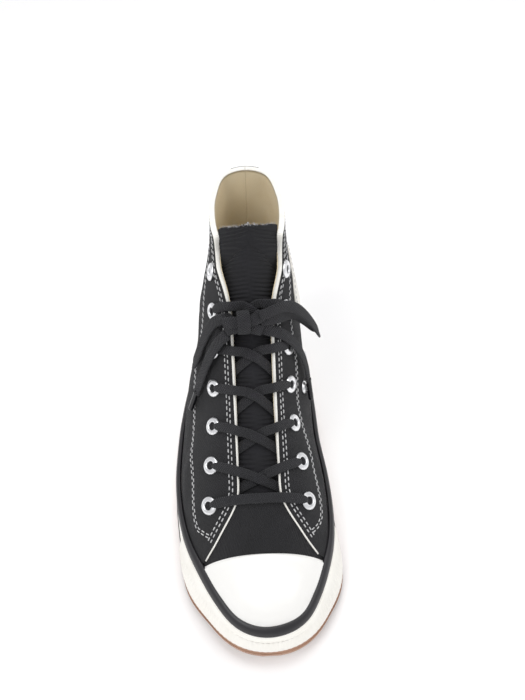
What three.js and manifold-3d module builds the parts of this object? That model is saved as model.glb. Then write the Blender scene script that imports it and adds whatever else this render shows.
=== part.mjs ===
// High top sneaker, right shoe, standing empty on its sole. Millimetres, +Z up, toe towards -Y,
// inner (medial) side towards +X.
import * as THREE from 'three';
import { mergeVertices } from 'three/addons/utils/BufferGeometryUtils.js';
import Module from 'manifold-3d';

const wasm = await Module();
wasm.setup();

// Driving dimensions of the last, the form that the shoe is built on
const lastLength = 243;
const ballWidth = 89.5;
const toeHeight = 43;
const instepHeight = 97;
const collarHeight = 161;
const collarWidth = 41;

// Canvas upper and what is laid over it
const seam = 0.3;
const wall = 2;
const quarterStep = 1.2;
const capThickness = 1.2;
const capLength = 35.5;
const stayWidth = 17;
const stayThickness = 1;
const patchRadius = 26;
const patchThickness = 0.9;
const patchHeight = 104;
const throatHalfGap = 12;
const throatTopHalfGap = 18;
const throatBase = 64;

// Rubber sole
const outsoleThickness = 6;
const treadDepth = 2;
const treadPitch = 16;
const treadGroove = 3;
const treadRim = 5;
const archRise = 1.2;
const toeSpring = 9;
const springLength = 78;
const sidewallHeight = 31;
const sidewallThickness = 2.8;
const toeOverhang = 9.4;
const ballOverhang = 6.2;
const heelOverhang = 3.6;
const stripeHeight = 5;
const stripeProud = 0.5;
const pinstripeHeight = 1.2;
const pinstripeProud = 0.5;
const pinstripeLevel = 9;
const bumperLength = 62;
const bumperThickness = 1.6;
const bumperRib = 0.5;
const insoleThickness = 3.6;

// Tongue, eyelets and lace
const tongueThickness = 2.2;
const tongueClearance = 3.2;
const tongueHalfWidth = 23;
const tongueRise = 11;
const tongueSeat = 7;
const eyeletRows = 7;
const eyeletRadius = 5.5;
const eyeletBore = 2.5;
const ventRadius = 4.2;
const ventBore = 2;
const eyeletSheet = 0.7;
const eyeletLift = 0.6;
const eyeletSides = 8;
const laceWidth = 8;
const laceThickness = 1.2;
const tipLength = 14;
const tipRadius = 1.7;

// Sections of the last from toe to heel. foot and top are where a rib starts at the feather line and
// ends at the ridge or collar, in shares of the last's length. lateral and medial are the rib's foot in
// shares of the ball width. toe, instep and collar mix the three heights into that of the rib's top, and
// half is its half width in shares of the collar's. The last six columns bend the rib.
const lastSections = [
  { foot: 0, lateral: 0.017, medial: 0.017, top: 0.095, toe: 1, instep: 0, collar: 0, half: 0,
    footHold: 0.66, topHold: 0.85, upright: 0, swell: 0, sweep: 0.03, crown: 1 },
  { foot: 0.0165, lateral: -0.151, medial: 0.216, top: 0.107, toe: 1.011, instep: 0, collar: 0, half: 0,
    footHold: 0.65, topHold: 0.78, upright: 0, swell: 0.01, sweep: 0.05, crown: 1 },
  { foot: 0.066, lateral: -0.279, medial: 0.328, top: 0.132, toe: 1.052, instep: 0, collar: 0, half: 0,
    footHold: 0.64, topHold: 0.75, upright: 0, swell: 0.013, sweep: 0.1, crown: 1 },
  { foot: 0.14, lateral: -0.434, medial: 0.452, top: 0.173, toe: 1.089, instep: 0, collar: 0, half: 0,
    footHold: 0.56, topHold: 0.6, upright: 0, swell: 0.023, sweep: 0.2, crown: 1 },
  { foot: 0.263, lateral: -0.509, medial: 0.462, top: 0.255, toe: 0.7, instep: 0.31, collar: 0, half: 0,
    footHold: 0.64, topHold: 0.63, upright: 0, swell: 0.049, sweep: 0.3, crown: 0.7 },
  { foot: 0.387, lateral: -0.543, medial: 0.448, top: 0.362, toe: 0.3, instep: 0.631, collar: 0, half: 0,
    footHold: 0.67, topHold: 0.47, upright: 0, swell: 0.063, sweep: 0.3, crown: 0.43 },
  { foot: 0.51, lateral: -0.534, medial: 0.415, top: 0.469, toe: 0, instep: 0.967, collar: 0, half: 0,
    footHold: 0.51, topHold: 0.44, upright: 0, swell: 0.061, sweep: 0.25, crown: 0.24 },
  { foot: 0.634, lateral: -0.494, medial: 0.409, top: 0.568, toe: 0, instep: 0.55, collar: 0.406, half: 0,
    footHold: 0.64, topHold: 0.49, upright: 0, swell: 0.047, sweep: 0.25, crown: 0.17 },
  { foot: 0.737, lateral: -0.439, medial: 0.38, top: 0.634, toe: 0, instep: 0.1, collar: 0.873, half: 0,
    footHold: 0.325, topHold: 0.67, upright: 0.05, swell: 0.07, sweep: 0.295, crown: 0 },
  { foot: 0.802, lateral: -0.396, medial: 0.37, top: 0.663, toe: 0, instep: 0, collar: 1.031, half: 0,
    footHold: 0.308, topHold: 0.85, upright: 0.04, swell: 0.047, sweep: 0.12, crown: 0.138 },
  { foot: 0.833, lateral: -0.386, medial: 0.365, top: 0.681, toe: 0, instep: 0, collar: 1.029, half: 0.264,
    footHold: 0.518, topHold: 0.812, upright: 0.202, swell: 0.03, sweep: 0.155, crown: 0.295 },
  { foot: 0.86, lateral: -0.373, medial: 0.359, top: 0.696, toe: 0, instep: 0, collar: 1.025, half: 0.427,
    footHold: 0.543, topHold: 0.667, upright: 0.36, swell: 0.031, sweep: 0.222, crown: 0.885 },
  { foot: 0.91, lateral: -0.339, medial: 0.344, top: 0.778, toe: 0, instep: 0, collar: 1.003, half: 0.5,
    footHold: 0.43, topHold: 0.44, upright: 0.53, swell: 0.029, sweep: 0.2, crown: 0.73 },
  { foot: 0.955, lateral: -0.265, medial: 0.279, top: 0.872, toe: 0, instep: 0, collar: 0.985, half: 0.495,
    footHold: 0.4, topHold: 0.45, upright: 0.9, swell: 0.022, sweep: 0.2, crown: 0.7 },
  { foot: 0.988, lateral: -0.156, medial: 0.168, top: 0.961, toe: 0, instep: 0, collar: 0.985, half: 0.354,
    footHold: 0.4, topHold: 0.35, upright: 1, swell: 0, sweep: 0.2, crown: 0.7 },
  { foot: 1, lateral: 0, medial: 0, top: 0.977, toe: 0, instep: 0, collar: 1, half: 0,
    footHold: 0.4, topHold: 0.35, upright: 1, swell: 0, sweep: 0.2, crown: 0.7 },
];
const collarSection = 9;
const ribsPerSection = 2;
const levels = 7;
const lastSection = lastSections.length - 1;
const ribs = lastSection * ribsPerSection;
const collarRib = collarSection * ribsPerSection;
const featherHeight = outsoleThickness + seam;
const LATERAL = -1;
const MEDIAL = 1;

// The sidewall's top edge in shares of its height, along the last
const sidewallTop = [
  { along: 0, height: 1 },
  { along: 0.14, height: 1.03 },
  { along: 0.3, height: 0.95 },
  { along: 0.5, height: 0.9 },
  { along: 0.8, height: 0.93 },
  { along: 1, height: 0.99 },
];

function catmullRom(a, b, c, d, t) {
  return 0.5 * (2 * b + (c - a) * t + (2 * a - 5 * b + 4 * c - d) * t * t + (3 * b - a - 3 * c + d) * t ** 3);
}

// One value of a table whose rows are spread evenly, or by their column along
function tableValue(table, column, along) {
  let k = table.findIndex((row) => row.along > along) - 1;
  if (k < 0) k = along <= table[0].along ? 0 : table.length - 2;
  const row = (j) => table[Math.min(Math.max(j, 0), table.length - 1)][column];
  const t = THREE.MathUtils.clamp((along - table[k].along) / (table[k + 1].along - table[k].along), 0, 1);
  return catmullRom(row(k - 1), row(k), row(k + 1), row(k + 2), t);
}

// How far the sole's underside is off the floor: toe spring in front, a slight arch at the waist
function soleLift(y) {
  const ahead = Math.max(0, (springLength - y) / springLength);
  const waist = Math.max(0, 1 - Math.abs(y / lastLength - 0.56) / 0.14);
  return toeSpring * ahead * ahead + archRise * waist * waist * (3 - 2 * waist);
}

// A section as the four points that bend its rib, carried round the toe and the heel to the other side
function sectionRib(side, k) {
  const beyond = k < 0 || k > lastSection;
  const row = lastSections[k < 0 ? -k : k > lastSection ? 2 * lastSection - k : k];
  const own = beyond ? -side : side;
  const y = lastLength * row.foot;
  const foot = new THREE.Vector3(
    ballWidth * (own === LATERAL ? row.lateral : row.medial), y, featherHeight + soleLift(y));
  const top = new THREE.Vector3(own * collarWidth * row.half, lastLength * row.top,
    toeHeight * row.toe + instepHeight * row.instep + collarHeight * row.collar);
  const rise = top.z - foot.z;
  const low = new THREE.Vector3(own * ballWidth * row.swell, (top.y - foot.y) * row.sweep, row.footHold * rise);
  const high = new THREE.Vector3(
    (foot.x - top.x) * row.topHold * (1 - row.upright),
    (foot.y - top.y) * row.topHold * row.crown,
    -rise * row.topHold * row.upright);
  return [foot, low.add(foot), high.add(top), top];
}

// The last's surface: a rib climbs from the feather line at t = 0 to the ridge or the collar at t = 1
function lastPoint(side, section, t) {
  const s = THREE.MathUtils.clamp(section, 0, lastSection);
  const k = Math.min(Math.floor(s), lastSection - 1);
  const rows = [-1, 0, 1, 2].map((j) => sectionRib(side, k + j));
  const rib = [0, 1, 2, 3].map((n) => new THREE.Vector3(...['x', 'y', 'z'].map(
    (axis) => catmullRom(...rows.map((row) => row[n][axis]), s - k))));
  rib[0].z = featherHeight + soleLift(rib[0].y);
  if (s <= collarSection) rib[3].x = 0;
  return new THREE.CubicBezierCurve3(...rib).getPoint(t);
}

// The outward normal, and a point of the surface moved out along it
function lastNormal(side, section, t) {
  const h = 0.01;
  const along = lastPoint(side, Math.min(section + h, lastSection), t)
    .sub(lastPoint(side, Math.max(section - h, 0), t));
  const up = lastPoint(side, section, Math.min(t + h, 1)).sub(lastPoint(side, section, Math.max(t - h, 0)));
  return along.cross(up).multiplyScalar(side).normalize();
}

function onLast(side, section, t, out) {
  return lastPoint(side, section, t).addScaledVector(lastNormal(side, section, t), out);
}

// A closed mesh with shared vertices becomes a solid, and a solid becomes a geometry again
function solid(geometry) {
  const bare = geometry.clone();
  bare.deleteAttribute('normal');
  bare.deleteAttribute('uv');
  const merged = mergeVertices(bare, 1e-4);
  return meshSolid(merged.attributes.position.array, merged.index.array);
}

function meshSolid(positions, triangles) {
  const mesh = new wasm.Mesh({
    numProp: 3,
    vertProperties: Float32Array.from(positions),
    triVerts: Uint32Array.from(triangles),
  });
  return new wasm.Manifold(mesh);
}

function geometryOf(manifold) {
  const mesh = manifold.getMesh();
  const geometry = new THREE.BufferGeometry();
  geometry.setAttribute('position', new THREE.BufferAttribute(Float32Array.from(mesh.vertProperties), 3));
  geometry.setIndex(new THREE.BufferAttribute(Uint32Array.from(mesh.triVerts), 1));
  geometry.computeVertexNormals();
  return geometry;
}

// A closed body on the last's ribs, moved out by offset. The collar's edge is carried up by rise and the
// feather line down by drop.
const formCache = new Map();
function lastForm(offset, rise = 0, drop = 0) {
  const key = `${offset},${rise},${drop}`;
  if (formCache.has(key)) return formCache.get(key);
  const points = [];
  const ids = { [LATERAL]: [], [MEDIAL]: [] };
  for (const side of [LATERAL, MEDIAL]) {
    for (let i = 0; i <= ribs; i++) {
      ids[side].push([]);
      for (let j = 0; j <= levels; j++) {
        const shared = side === MEDIAL && (i === 0 || i === ribs || (j === levels && i <= collarRib));
        ids[side][i].push(shared ? ids[LATERAL][i][j] : points.length);
        if (!shared) points.push(lastPoint(side, i / ribsPerSection, j / levels));
      }
    }
  }
  const skin = [];
  const quad = (list, a, b, c, d) => {
    if (a !== b && b !== c && a !== c) list.push([a, b, c]);
    if (a !== d && d !== c && a !== c) list.push([a, c, d]);
  };
  for (const side of [LATERAL, MEDIAL]) {
    const id = ids[side];
    for (let i = 0; i < ribs; i++) {
      for (let j = 0; j < levels; j++) {
        if (side === MEDIAL) quad(skin, id[i][j], id[i + 1][j], id[i + 1][j + 1], id[i][j + 1]);
        else quad(skin, id[i + 1][j], id[i][j], id[i][j + 1], id[i + 1][j + 1]);
      }
    }
  }
  const normals = points.map(() => new THREE.Vector3());
  for (const [a, b, c] of skin) {
    const normal = points[b].clone().sub(points[a]).cross(points[c].clone().sub(points[a]));
    for (const k of [a, b, c]) normals[k].add(normal);
  }
  const moved = points.map((point, k) => point.clone().addScaledVector(normals[k].normalize(), offset));

  // Edges of one opening, with a band to its moved copy where it is carried on
  const closeEdge = (edge, shift, flip) => {
    let ends = edge;
    if (shift !== 0) {
      const copies = new Map();
      const copy = (id) => {
        if (!copies.has(id)) {
          copies.set(id, moved.length);
          moved.push(moved[id].clone().add(new THREE.Vector3(0, 0, shift)));
        }
        return copies.get(id);
      };
      ends = edge.map(([left, right]) => [copy(left), copy(right)]);
      for (let k = 0; k + 1 < edge.length; k++) {
        for (const [column, turn] of [[0, !flip], [1, flip]]) {
          const corners = [edge[k][column], edge[k + 1][column], ends[k + 1][column], ends[k][column]];
          quad(skin, ...(turn ? corners.reverse() : corners));
        }
      }
    }
    for (let k = 0; k + 1 < ends.length; k++) {
      const corners = [ends[k][0], ends[k][1], ends[k + 1][1], ends[k + 1][0]];
      quad(skin, ...(flip ? corners.reverse() : corners));
    }
  };
  const edgeAt = (from, level) => {
    const edge = [];
    for (let i = from; i <= ribs; i++) edge.push([ids[LATERAL][i][level], ids[MEDIAL][i][level]]);
    return edge;
  };
  closeEdge(edgeAt(collarRib, levels), rise, false);
  closeEdge(edgeAt(0, 0), -drop, true);
  const form = meshSolid(moved.flatMap((p) => p.toArray()), skin.flat());
  formCache.set(key, form);
  return form;
}

// A closed body through rings of points in step, each ring an outline that pairs up across its middle
function loft(rings) {
  const count = rings[0].length;
  const triangles = [];
  for (let r = 0; r + 1 < rings.length; r++) {
    for (let k = 0; k < count; k++) {
      const next = (k + 1) % count;
      const [a, b, c, d] = [r * count + k, r * count + next, (r + 1) * count + next, (r + 1) * count + k];
      triangles.push([a, b, c], [a, c, d]);
    }
  }
  const cap = (start, flip) => {
    const add = (a, b, c) => {
      if (a !== b && b !== c && a !== c) triangles.push(flip ? [start + c, start + b, start + a]
        : [start + a, start + b, start + c]);
    };
    for (let k = 0; k < count / 2; k++) {
      const [a, b] = [k, k + 1];
      const [c, d] = [(count - k - 1) % count, (count - k) % count];
      add(a, b, c);
      add(a, c, d);
    }
  };
  cap(0, true);
  cap((rings.length - 1) * count, false);
  const build = (list) => meshSolid(rings.flat().flatMap((p) => p.toArray()), list.flat());
  const body = build(triangles);
  return body.volume() > 0 ? body : build(triangles.map(([a, b, c]) => [a, c, b]));
}

// The largest of a solid's bodies, without what two crossing sheets close in between them
function largest(manifold) {
  return manifold.decompose().reduce((best, body) => (body.volume() > best.volume() ? body : best));
}

function block(x0, x1, y0, y1, z0, z1) {
  const box = new THREE.BoxGeometry(x1 - x0, y1 - y0, z1 - z0);
  box.translate((x0 + x1) / 2, (y0 + y1) / 2, (z0 + z1) / 2);
  return solid(box);
}

// Sole outlines: from the toe along the medial side and back along the lateral one, with more points
// round the toe and the heel than along the sides
const outlineSections = [0];
while (outlineSections.at(-1) < lastSection) {
  const section = outlineSections.at(-1);
  outlineSections.push(section + (section >= 8 && section < 12 ? 1 : 0.5));
}
const ribRound = [
  ...outlineSections.map((section) => [MEDIAL, section]),
  ...outlineSections.slice(1, -1).reverse().map((section) => [LATERAL, section]),
];

function offsetPlan(points, offsetAt) {
  const count = points.length;
  return points.map((point, k) => {
    const along = points[(k + 1) % count].clone().sub(points[(k + count - 1) % count]).setZ(0).normalize();
    return point.clone().add(new THREE.Vector3(along.y, -along.x, 0).multiplyScalar(offsetAt(point)));
  });
}

function overhang(point) {
  const along = point.y / lastLength;
  const toe = Math.max(0, 1 - along / 0.3) ** 1.3;
  const heel = THREE.MathUtils.smoothstep(along, 0.3, 1);
  return THREE.MathUtils.lerp(ballOverhang + (toeOverhang - ballOverhang) * toe, heelOverhang, heel);
}

function topEdgeHeight(y) {
  return sidewallHeight * tableValue(sidewallTop, 'height', y / lastLength);
}

const feather = ribRound.map(([side, section]) => lastPoint(side, section, 0));
const soleEdge = offsetPlan(feather, overhang);

// Where each rib passes the sidewall's top edge, out past the cap or quarter and the rubber on it
const liner = Math.max(quarterStep, seam + capThickness) + seam;
const ribAtTopEdge = ribRound.map(([side, section]) => {
  let low = 0;
  let high = 1;
  for (let n = 0; n < 24; n++) {
    const middle = (low + high) / 2;
    const point = lastPoint(side, section, middle);
    if (point.z < topEdgeHeight(point.y)) low = middle;
    else high = middle;
  }
  return lastPoint(side, section, low);
});
const topEdge = offsetPlan(ribAtTopEdge, () => liner + sidewallThickness);

// A ring of the sidewall's outer face at a height over the sole's underside, moved out
function sidewallRing(heightAt, out) {
  const ring = soleEdge.map((low, k) => {
    const high = topEdge[k];
    const base = soleLift(low.y);
    const level = heightAt(low.y);
    const share = (level - outsoleThickness) / (topEdgeHeight(high.y) - base - outsoleThickness);
    const point = low.clone().lerp(high, share);
    return point.setZ(base + level);
  });
  return offsetPlan(ring, () => out);
}

const wallHeight = (y) => topEdgeHeight(y) - soleLift(y);
const stripeBase = (y) => wallHeight(y) - stripeHeight;
const innerForm = lastForm(liner, 0, outsoleThickness + treadDepth);

function sidewallBand(fromHeight, toHeight, out, topOut = out) {
  return loft([sidewallRing(fromHeight, out), sidewallRing(toHeight, topOut)]).subtract(innerForm);
}

// The foxing's outer face has the same rings wherever it is used
const foxingBase = () => outsoleThickness + seam;
const foxingTop = (y) => stripeBase(y) - seam;

function foxingFace(out) {
  return loft([foxingBase, foxingTop].map((height) => sidewallRing(height, out)));
}

function foxing() {
  return foxingFace(0).subtract(innerForm);
}

// A thin raised line round the foxing, cut off where the toe's strip begins
function pinstripe() {
  const low = () => pinstripeLevel;
  const high = () => pinstripeLevel + pinstripeHeight;
  const out = seam + pinstripeProud;
  const band = loft([sidewallRing(low, out), sidewallRing(high, out)]);
  return band.subtract(foxingFace(seam)).subtract(bumperSpace());
}

function stripe() {
  return sidewallBand(stripeBase, wallHeight, stripeProud, stripeProud - 1);
}

// The ribbed strip round the toe, on the sidewall below the stripe
const ribsInBumper = ribRound
  .map((_, k) => k)
  .filter((k) => feather[k].y < bumperLength);
const bumperOrder = [
  ...ribsInBumper.filter((k) => k >= outlineSections.length).sort((a, b) => a - b),
  ...ribsInBumper.filter((k) => k < outlineSections.length).sort((a, b) => a - b),
];

function bumperBody(low, high, inner, outerAt) {
  const inLow = sidewallRing(low, inner);
  const inHigh = sidewallRing(high, inner);
  const outLow = sidewallRing(low, bumperThickness);
  const outHigh = sidewallRing(high, bumperThickness * 0.6);
  const rings = bumperOrder.map((k, n) => {
    const toward = outerAt(n);
    return [
      inLow[k],
      inHigh[k],
      inHigh[k].clone().lerp(outHigh[k], toward),
      inLow[k].clone().lerp(outLow[k], toward),
    ];
  });
  return loft(rings);
}

function toeBumper() {
  const ribbed = (n) => (n % 2 === 0 ? 1 : 1 - bumperRib / bumperThickness);
  return bumperBody(foxingBase, (y) => foxingTop(y) - seam, -1, ribbed).subtract(foxingFace(seam));
}

function bumperSpace() {
  return bumperBody(() => outsoleThickness - 1, stripeBase, -2, () => 1.8);
}

// The outsole: a plate with a rim and cross bars below it
function plate(fromHeight, toHeight, inset) {
  return loft([sidewallRing(() => fromHeight, -inset), sidewallRing(() => toHeight, -inset)]);
}

function outsole() {
  const body = plate(treadDepth, outsoleThickness, 0);
  const layer = plate(0, treadDepth + 0.5, 0.8);
  const centre = plate(-1, treadDepth, treadRim);
  const end = lastLength + heelOverhang;
  const half = ballWidth;
  let grooves = null;
  for (let y = -toeOverhang; y < end; y += treadPitch) {
    const groove = block(-half, half, y, y + treadGroove, -treadDepth, treadDepth + toeSpring * 2);
    grooves = grooves ? grooves.add(groove) : groove;
  }
  const waist = block(-half, half, lastLength * 0.46, lastLength * 0.64, -treadDepth, treadDepth + archRise);
  const tread = layer.subtract(centre.intersect(grooves.add(waist)));
  return body.add(tread);
}

function insole() {
  const inset = -(wall + 2 * seam);
  const low = offsetPlan(feather, () => inset).map((p) => p.clone().setZ(soleLift(p.y) + featherHeight));
  const high = low.map((p) => p.clone().setZ(p.z + insoleThickness));
  return loft([low, high]).intersect(lastForm(-wall - seam, 0, outsoleThickness));
}

// A long cutter along the ridge: a rectangle across it at each rib, from out above it to deep below it
function ridgeBody(fromSection, halfAt, out, deep, beyond) {
  const rings = [];
  const ringAt = (centre, normal, half) => {
    const corner = (x, reach) => centre.clone().addScaledVector(normal, reach).add(new THREE.Vector3(x, 0, 0));
    return [corner(-half, out), corner(half, out), corner(half, -deep), corner(-half, -deep)];
  };
  const ahead = new THREE.Vector3();
  const steps = Math.round((collarSection - fromSection) * ribsPerSection);
  for (let n = 0; n <= steps; n++) {
    const section = fromSection + (collarSection - fromSection) * (n / steps);
    const centre = lastPoint(MEDIAL, section, 1);
    const step = lastPoint(MEDIAL, Math.min(section + 0.05, collarSection), 1)
      .sub(lastPoint(MEDIAL, section - 0.05, 1));
    ahead.set(0, -step.z, step.y).normalize();
    rings.push(ringAt(centre, ahead, halfAt(n / steps)));
  }
  const top = lastPoint(MEDIAL, collarSection, 1);
  top.z += beyond;
  rings.push(ringAt(top, ahead.set(0, -1, 0), halfAt(1)));
  return loft(rings);
}

const sectionAtTop = (y) => {
  let section = 0;
  while (lastPoint(MEDIAL, section, 1).y < y) section += 0.02;
  return section;
};
const throatSection = sectionAtTop(throatBase);
const throatHalfAt = (share) => THREE.MathUtils.lerp(
  throatHalfGap, throatTopHalfGap, THREE.MathUtils.smoothstep(share, 0.62, 1));

function throat() {
  return ridgeBody(throatSection, throatHalfAt, 14, 20, 40);
}

// The vamp's plan: a V that opens from the throat's base to the toe cap's corners
const vampEdge = [
  { half: 13, along: throatBase - 3 },
  { half: 18, along: throatBase - 10 },
  { half: 23.5, along: throatBase - 16.5 },
  { half: 28.5, along: throatBase - 23.5 },
  { half: 35, along: capLength + 2 * seam },
  { half: 60, along: capLength + 2 * seam },
];

function vampSpace() {
  const outline = [
    ...vampEdge.map(({ half, along }) => new THREE.Vector2(half, along)),
    new THREE.Vector2(60, -30),
    new THREE.Vector2(-60, -30),
    ...vampEdge.map(({ half, along }) => new THREE.Vector2(-half, along)).reverse(),
  ];
  return solid(new THREE.ExtrudeGeometry(new THREE.Shape(outline), { depth: collarHeight, bevelEnabled: false }));
}

// Eyelets stand at even steps along a line up the quarter. Its rows are shares of the collar's width, of
// the last's length and of the collar's height.
const eyeletLine = [
  { half: 0.693, along: 0.262, height: 0.322 },
  { half: 0.585, along: 0.4, height: 0.41 },
  { half: 0.554, along: 0.515, height: 0.528 },
  { half: 0.537, along: 0.698, height: 0.857 },
];
const ventLine = { along: 0.56, height: 0.41, step: 0.087 };

// The place on the last nearest to a point, by ever finer steps
function nearestPlace(side, target) {
  let best = { section: 7, t: 0.6, step: 1.6 };
  const distance = (section, t) => lastPoint(side, section, t).distanceTo(target);
  for (let step = 1; step > 0.002; step /= 1.6) {
    const around = best;
    let least = distance(best.section, best.t);
    for (const [a, b] of [[1, 0], [-1, 0], [0, 1], [0, -1], [1, 1], [-1, -1], [1, -1], [-1, 1]]) {
      const section = THREE.MathUtils.clamp(around.section + a * step * 3, 3, lastSection);
      const t = THREE.MathUtils.clamp(around.t + b * step * 0.4, 0.05, 1);
      const far = distance(section, t);
      if (far < least) {
        least = far;
        best = { section, t };
      }
    }
  }
  return { side, section: best.section, t: best.t, at: lastPoint(side, best.section, best.t) };
}

function eyeletPlaces(side) {
  const line = new THREE.CatmullRomCurve3(eyeletLine.map(({ half, along, height }) => new THREE.Vector3(
    side * collarWidth * half, lastLength * along, collarHeight * height)));
  return line.getSpacedPoints(eyeletRows - 1).map((target) => nearestPlace(side, target));
}

function ventPlaces() {
  return [0, 1].map((n) => nearestPlace(MEDIAL, new THREE.Vector3(
    collarWidth / 2, lastLength * (ventLine.along + n * ventLine.step), collarHeight * ventLine.height)));
}

// Turns the +Y axis of a lathed piece to the surface's normal
function seatOn(place, out) {
  const normal = lastNormal(place.side, place.section, place.t);
  const turn = new THREE.Quaternion().setFromUnitVectors(new THREE.Vector3(0, 1, 0), normal);
  const at = place.at.clone().addScaledVector(normal, out);
  return new THREE.Matrix4().compose(at, turn, new THREE.Vector3(1, 1, 1));
}

function eyeletRing(radius, bore) {
  const depth = wall + quarterStep + eyeletLift;
  const profile = [
    [bore, -depth], [bore + eyeletSheet, -depth], [bore + eyeletSheet, 0],
    [radius, 0], [bore, eyeletSheet], [bore, -depth],
  ];
  return new THREE.LatheGeometry(profile.map(([x, y]) => new THREE.Vector2(x, y)), eyeletSides);
}

function eyeletHole(place, bore) {
  const radius = bore + eyeletSheet + 2 * seam;
  const hole = new THREE.CylinderGeometry(radius, radius, 14, eyeletSides);
  return solid(hole.applyMatrix4(seatOn(place, 0)));
}

const lateralEyelets = eyeletPlaces(LATERAL);
const medialEyelets = eyeletPlaces(MEDIAL);
const vents = ventPlaces();

function upper() {
  let shell = lastForm(0).add(lastForm(quarterStep).subtract(vampSpace()));
  shell = shell.subtract(lastForm(-wall, 14, outsoleThickness)).subtract(throat());
  for (const place of [...lateralEyelets, ...medialEyelets]) shell = shell.subtract(eyeletHole(place, eyeletBore));
  for (const place of vents) shell = shell.subtract(eyeletHole(place, ventBore));
  return shell;
}

// Overlays are cut between two larger forms of the last
function overlay(inner, thickness, space) {
  return lastForm(inner + thickness).subtract(lastForm(inner, 10, 10)).intersect(space);
}

function toeCap() {
  const space = block(-ballWidth, ballWidth, -20, capLength, 0, collarHeight);
  const rubber = loft([sidewallRing(() => -2, 9), sidewallRing((y) => wallHeight(y) + seam, 9)]);
  return overlay(seam, capThickness, space).subtract(rubber);
}

function heelStay() {
  const space = block(-stayWidth / 2, stayWidth / 2, lastLength * 0.85, lastLength + 20, 0, collarHeight + 20);
  const rubber = loft([sidewallRing(() => -2, 9), sidewallRing((y) => wallHeight(y) + seam, 9)]);
  return overlay(quarterStep + seam, stayThickness, space).subtract(rubber);
}

function anklePatch() {
  const disc = new THREE.CylinderGeometry(patchRadius, patchRadius, ballWidth, 28);
  disc.rotateZ(Math.PI / 2);
  disc.translate(ballWidth / 2, lastLength * 0.81, patchHeight);
  return overlay(quarterStep + seam, patchThickness, solid(disc));
}

function tongue() {
  const top = -(wall + tongueClearance);
  const bottom = top - tongueThickness;
  const half = (share) => THREE.MathUtils.lerp(tongueHalfWidth * 0.86, tongueHalfWidth, share);
  const from = throatSection - 0.35;
  const reach = ridgeBody(from, half, 4, 40, tongueRise);
  const sheet = lastForm(top, 20).subtract(lastForm(bottom, 24, 10)).intersect(reach);
  const seatEnd = sectionAtTop(lastPoint(MEDIAL, from, 1).y + tongueSeat);
  const seatSpace = ridgeBody(from, () => throatHalfGap - 2, 4, 40, 0)
    .subtract(ridgeBody(seatEnd, () => throatHalfGap, 14, 60, 30));
  const seat = lastForm(-wall - seam).subtract(lastForm(bottom + 0.5, 0, 10)).intersect(seatSpace);
  return sheet.add(seat);
}

// A flat lace along points with the way out of the surface at each, as a ribbon of four corners
function ribbon(points, outs) {
  const rings = points.map((point, k) => {
    const along = points[Math.min(k + 1, points.length - 1)].clone().sub(points[Math.max(k - 1, 0)]).normalize();
    const across = along.clone().cross(outs[k]).normalize();
    const out = across.clone().cross(along).normalize();
    const corner = (a, b) => point.clone().addScaledVector(across, a * laceWidth / 2)
      .addScaledVector(out, b * laceThickness / 2);
    return [corner(-1, -1), corner(1, -1), corner(1, 1), corner(-1, 1)];
  });
  return loft(rings);
}

// A strand from an eyelet of one row to one on the other side: it comes out from under the first
// quarter's edge, lies on the tongue, climbs over the second quarter's edge and stops at the eyelet's rim
const overQuarter = quarterStep + laceThickness / 2 + 2 * seam;
const overTongue = -(wall + laceThickness / 2 + 3 * seam);
const strandTuck = 2.4;
const strandSteps = 16;

function strand(from, to, startHalf, outAt) {
  const points = [];
  const outs = [];
  for (let n = 0; n <= strandSteps; n++) {
    const x = THREE.MathUtils.lerp(-startHalf, Math.abs(to.at.x), n / strandSteps);
    const share = (x / Math.abs(x < 0 ? from.at.x : to.at.x) + 1) / 2;
    const section = THREE.MathUtils.lerp(from.section, to.section, share);
    const place = placeAtHalf(x < 0 ? from.side : to.side, section, Math.abs(x));
    const rims = [from, to].map((eyelet) => place.at.distanceTo(eyelet.at));
    if (Math.min(...rims) < eyeletRadius + 1) continue;
    points.push(onLast(place.side, section, place.t, outAt(x)));
    outs.push(lastNormal(place.side, section, place.t));
  }
  return ribbon(points, outs);
}

// Where a rib stands a given half width from the ridge, looking down from its top
function placeAtHalf(side, section, half) {
  let t = 1;
  while (t > 0 && Math.abs(lastPoint(side, section, t).x) < half) t -= 0.004;
  return { side, section, t, at: lastPoint(side, section, t) };
}

function laceCross(row) {
  const middle = (lateralEyelets[row].section + medialEyelets[row + 1].section) / 2;
  const gap = throatHalfAt((middle - throatSection) / (collarSection - throatSection));
  const climb = (x) => THREE.MathUtils.lerp(
    overTongue, overQuarter, THREE.MathUtils.smoothstep(x, gap - 8.5, gap - 2.8));
  const over = (x) => climb(x) + laceThickness * 0.4 * Math.max(0, 1 - Math.abs(x) / (laceWidth * 0.8));
  const first = strand(lateralEyelets[row], medialEyelets[row + 1], gap + strandTuck, climb);
  const second = strand(medialEyelets[row], lateralEyelets[row + 1], gap + strandTuck, over);
  return largest(first.add(second));
}

function laceBar() {
  return strand(lateralEyelets[0], medialEyelets[0], Math.abs(lateralEyelets[0].at.x), () => overQuarter);
}

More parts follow.
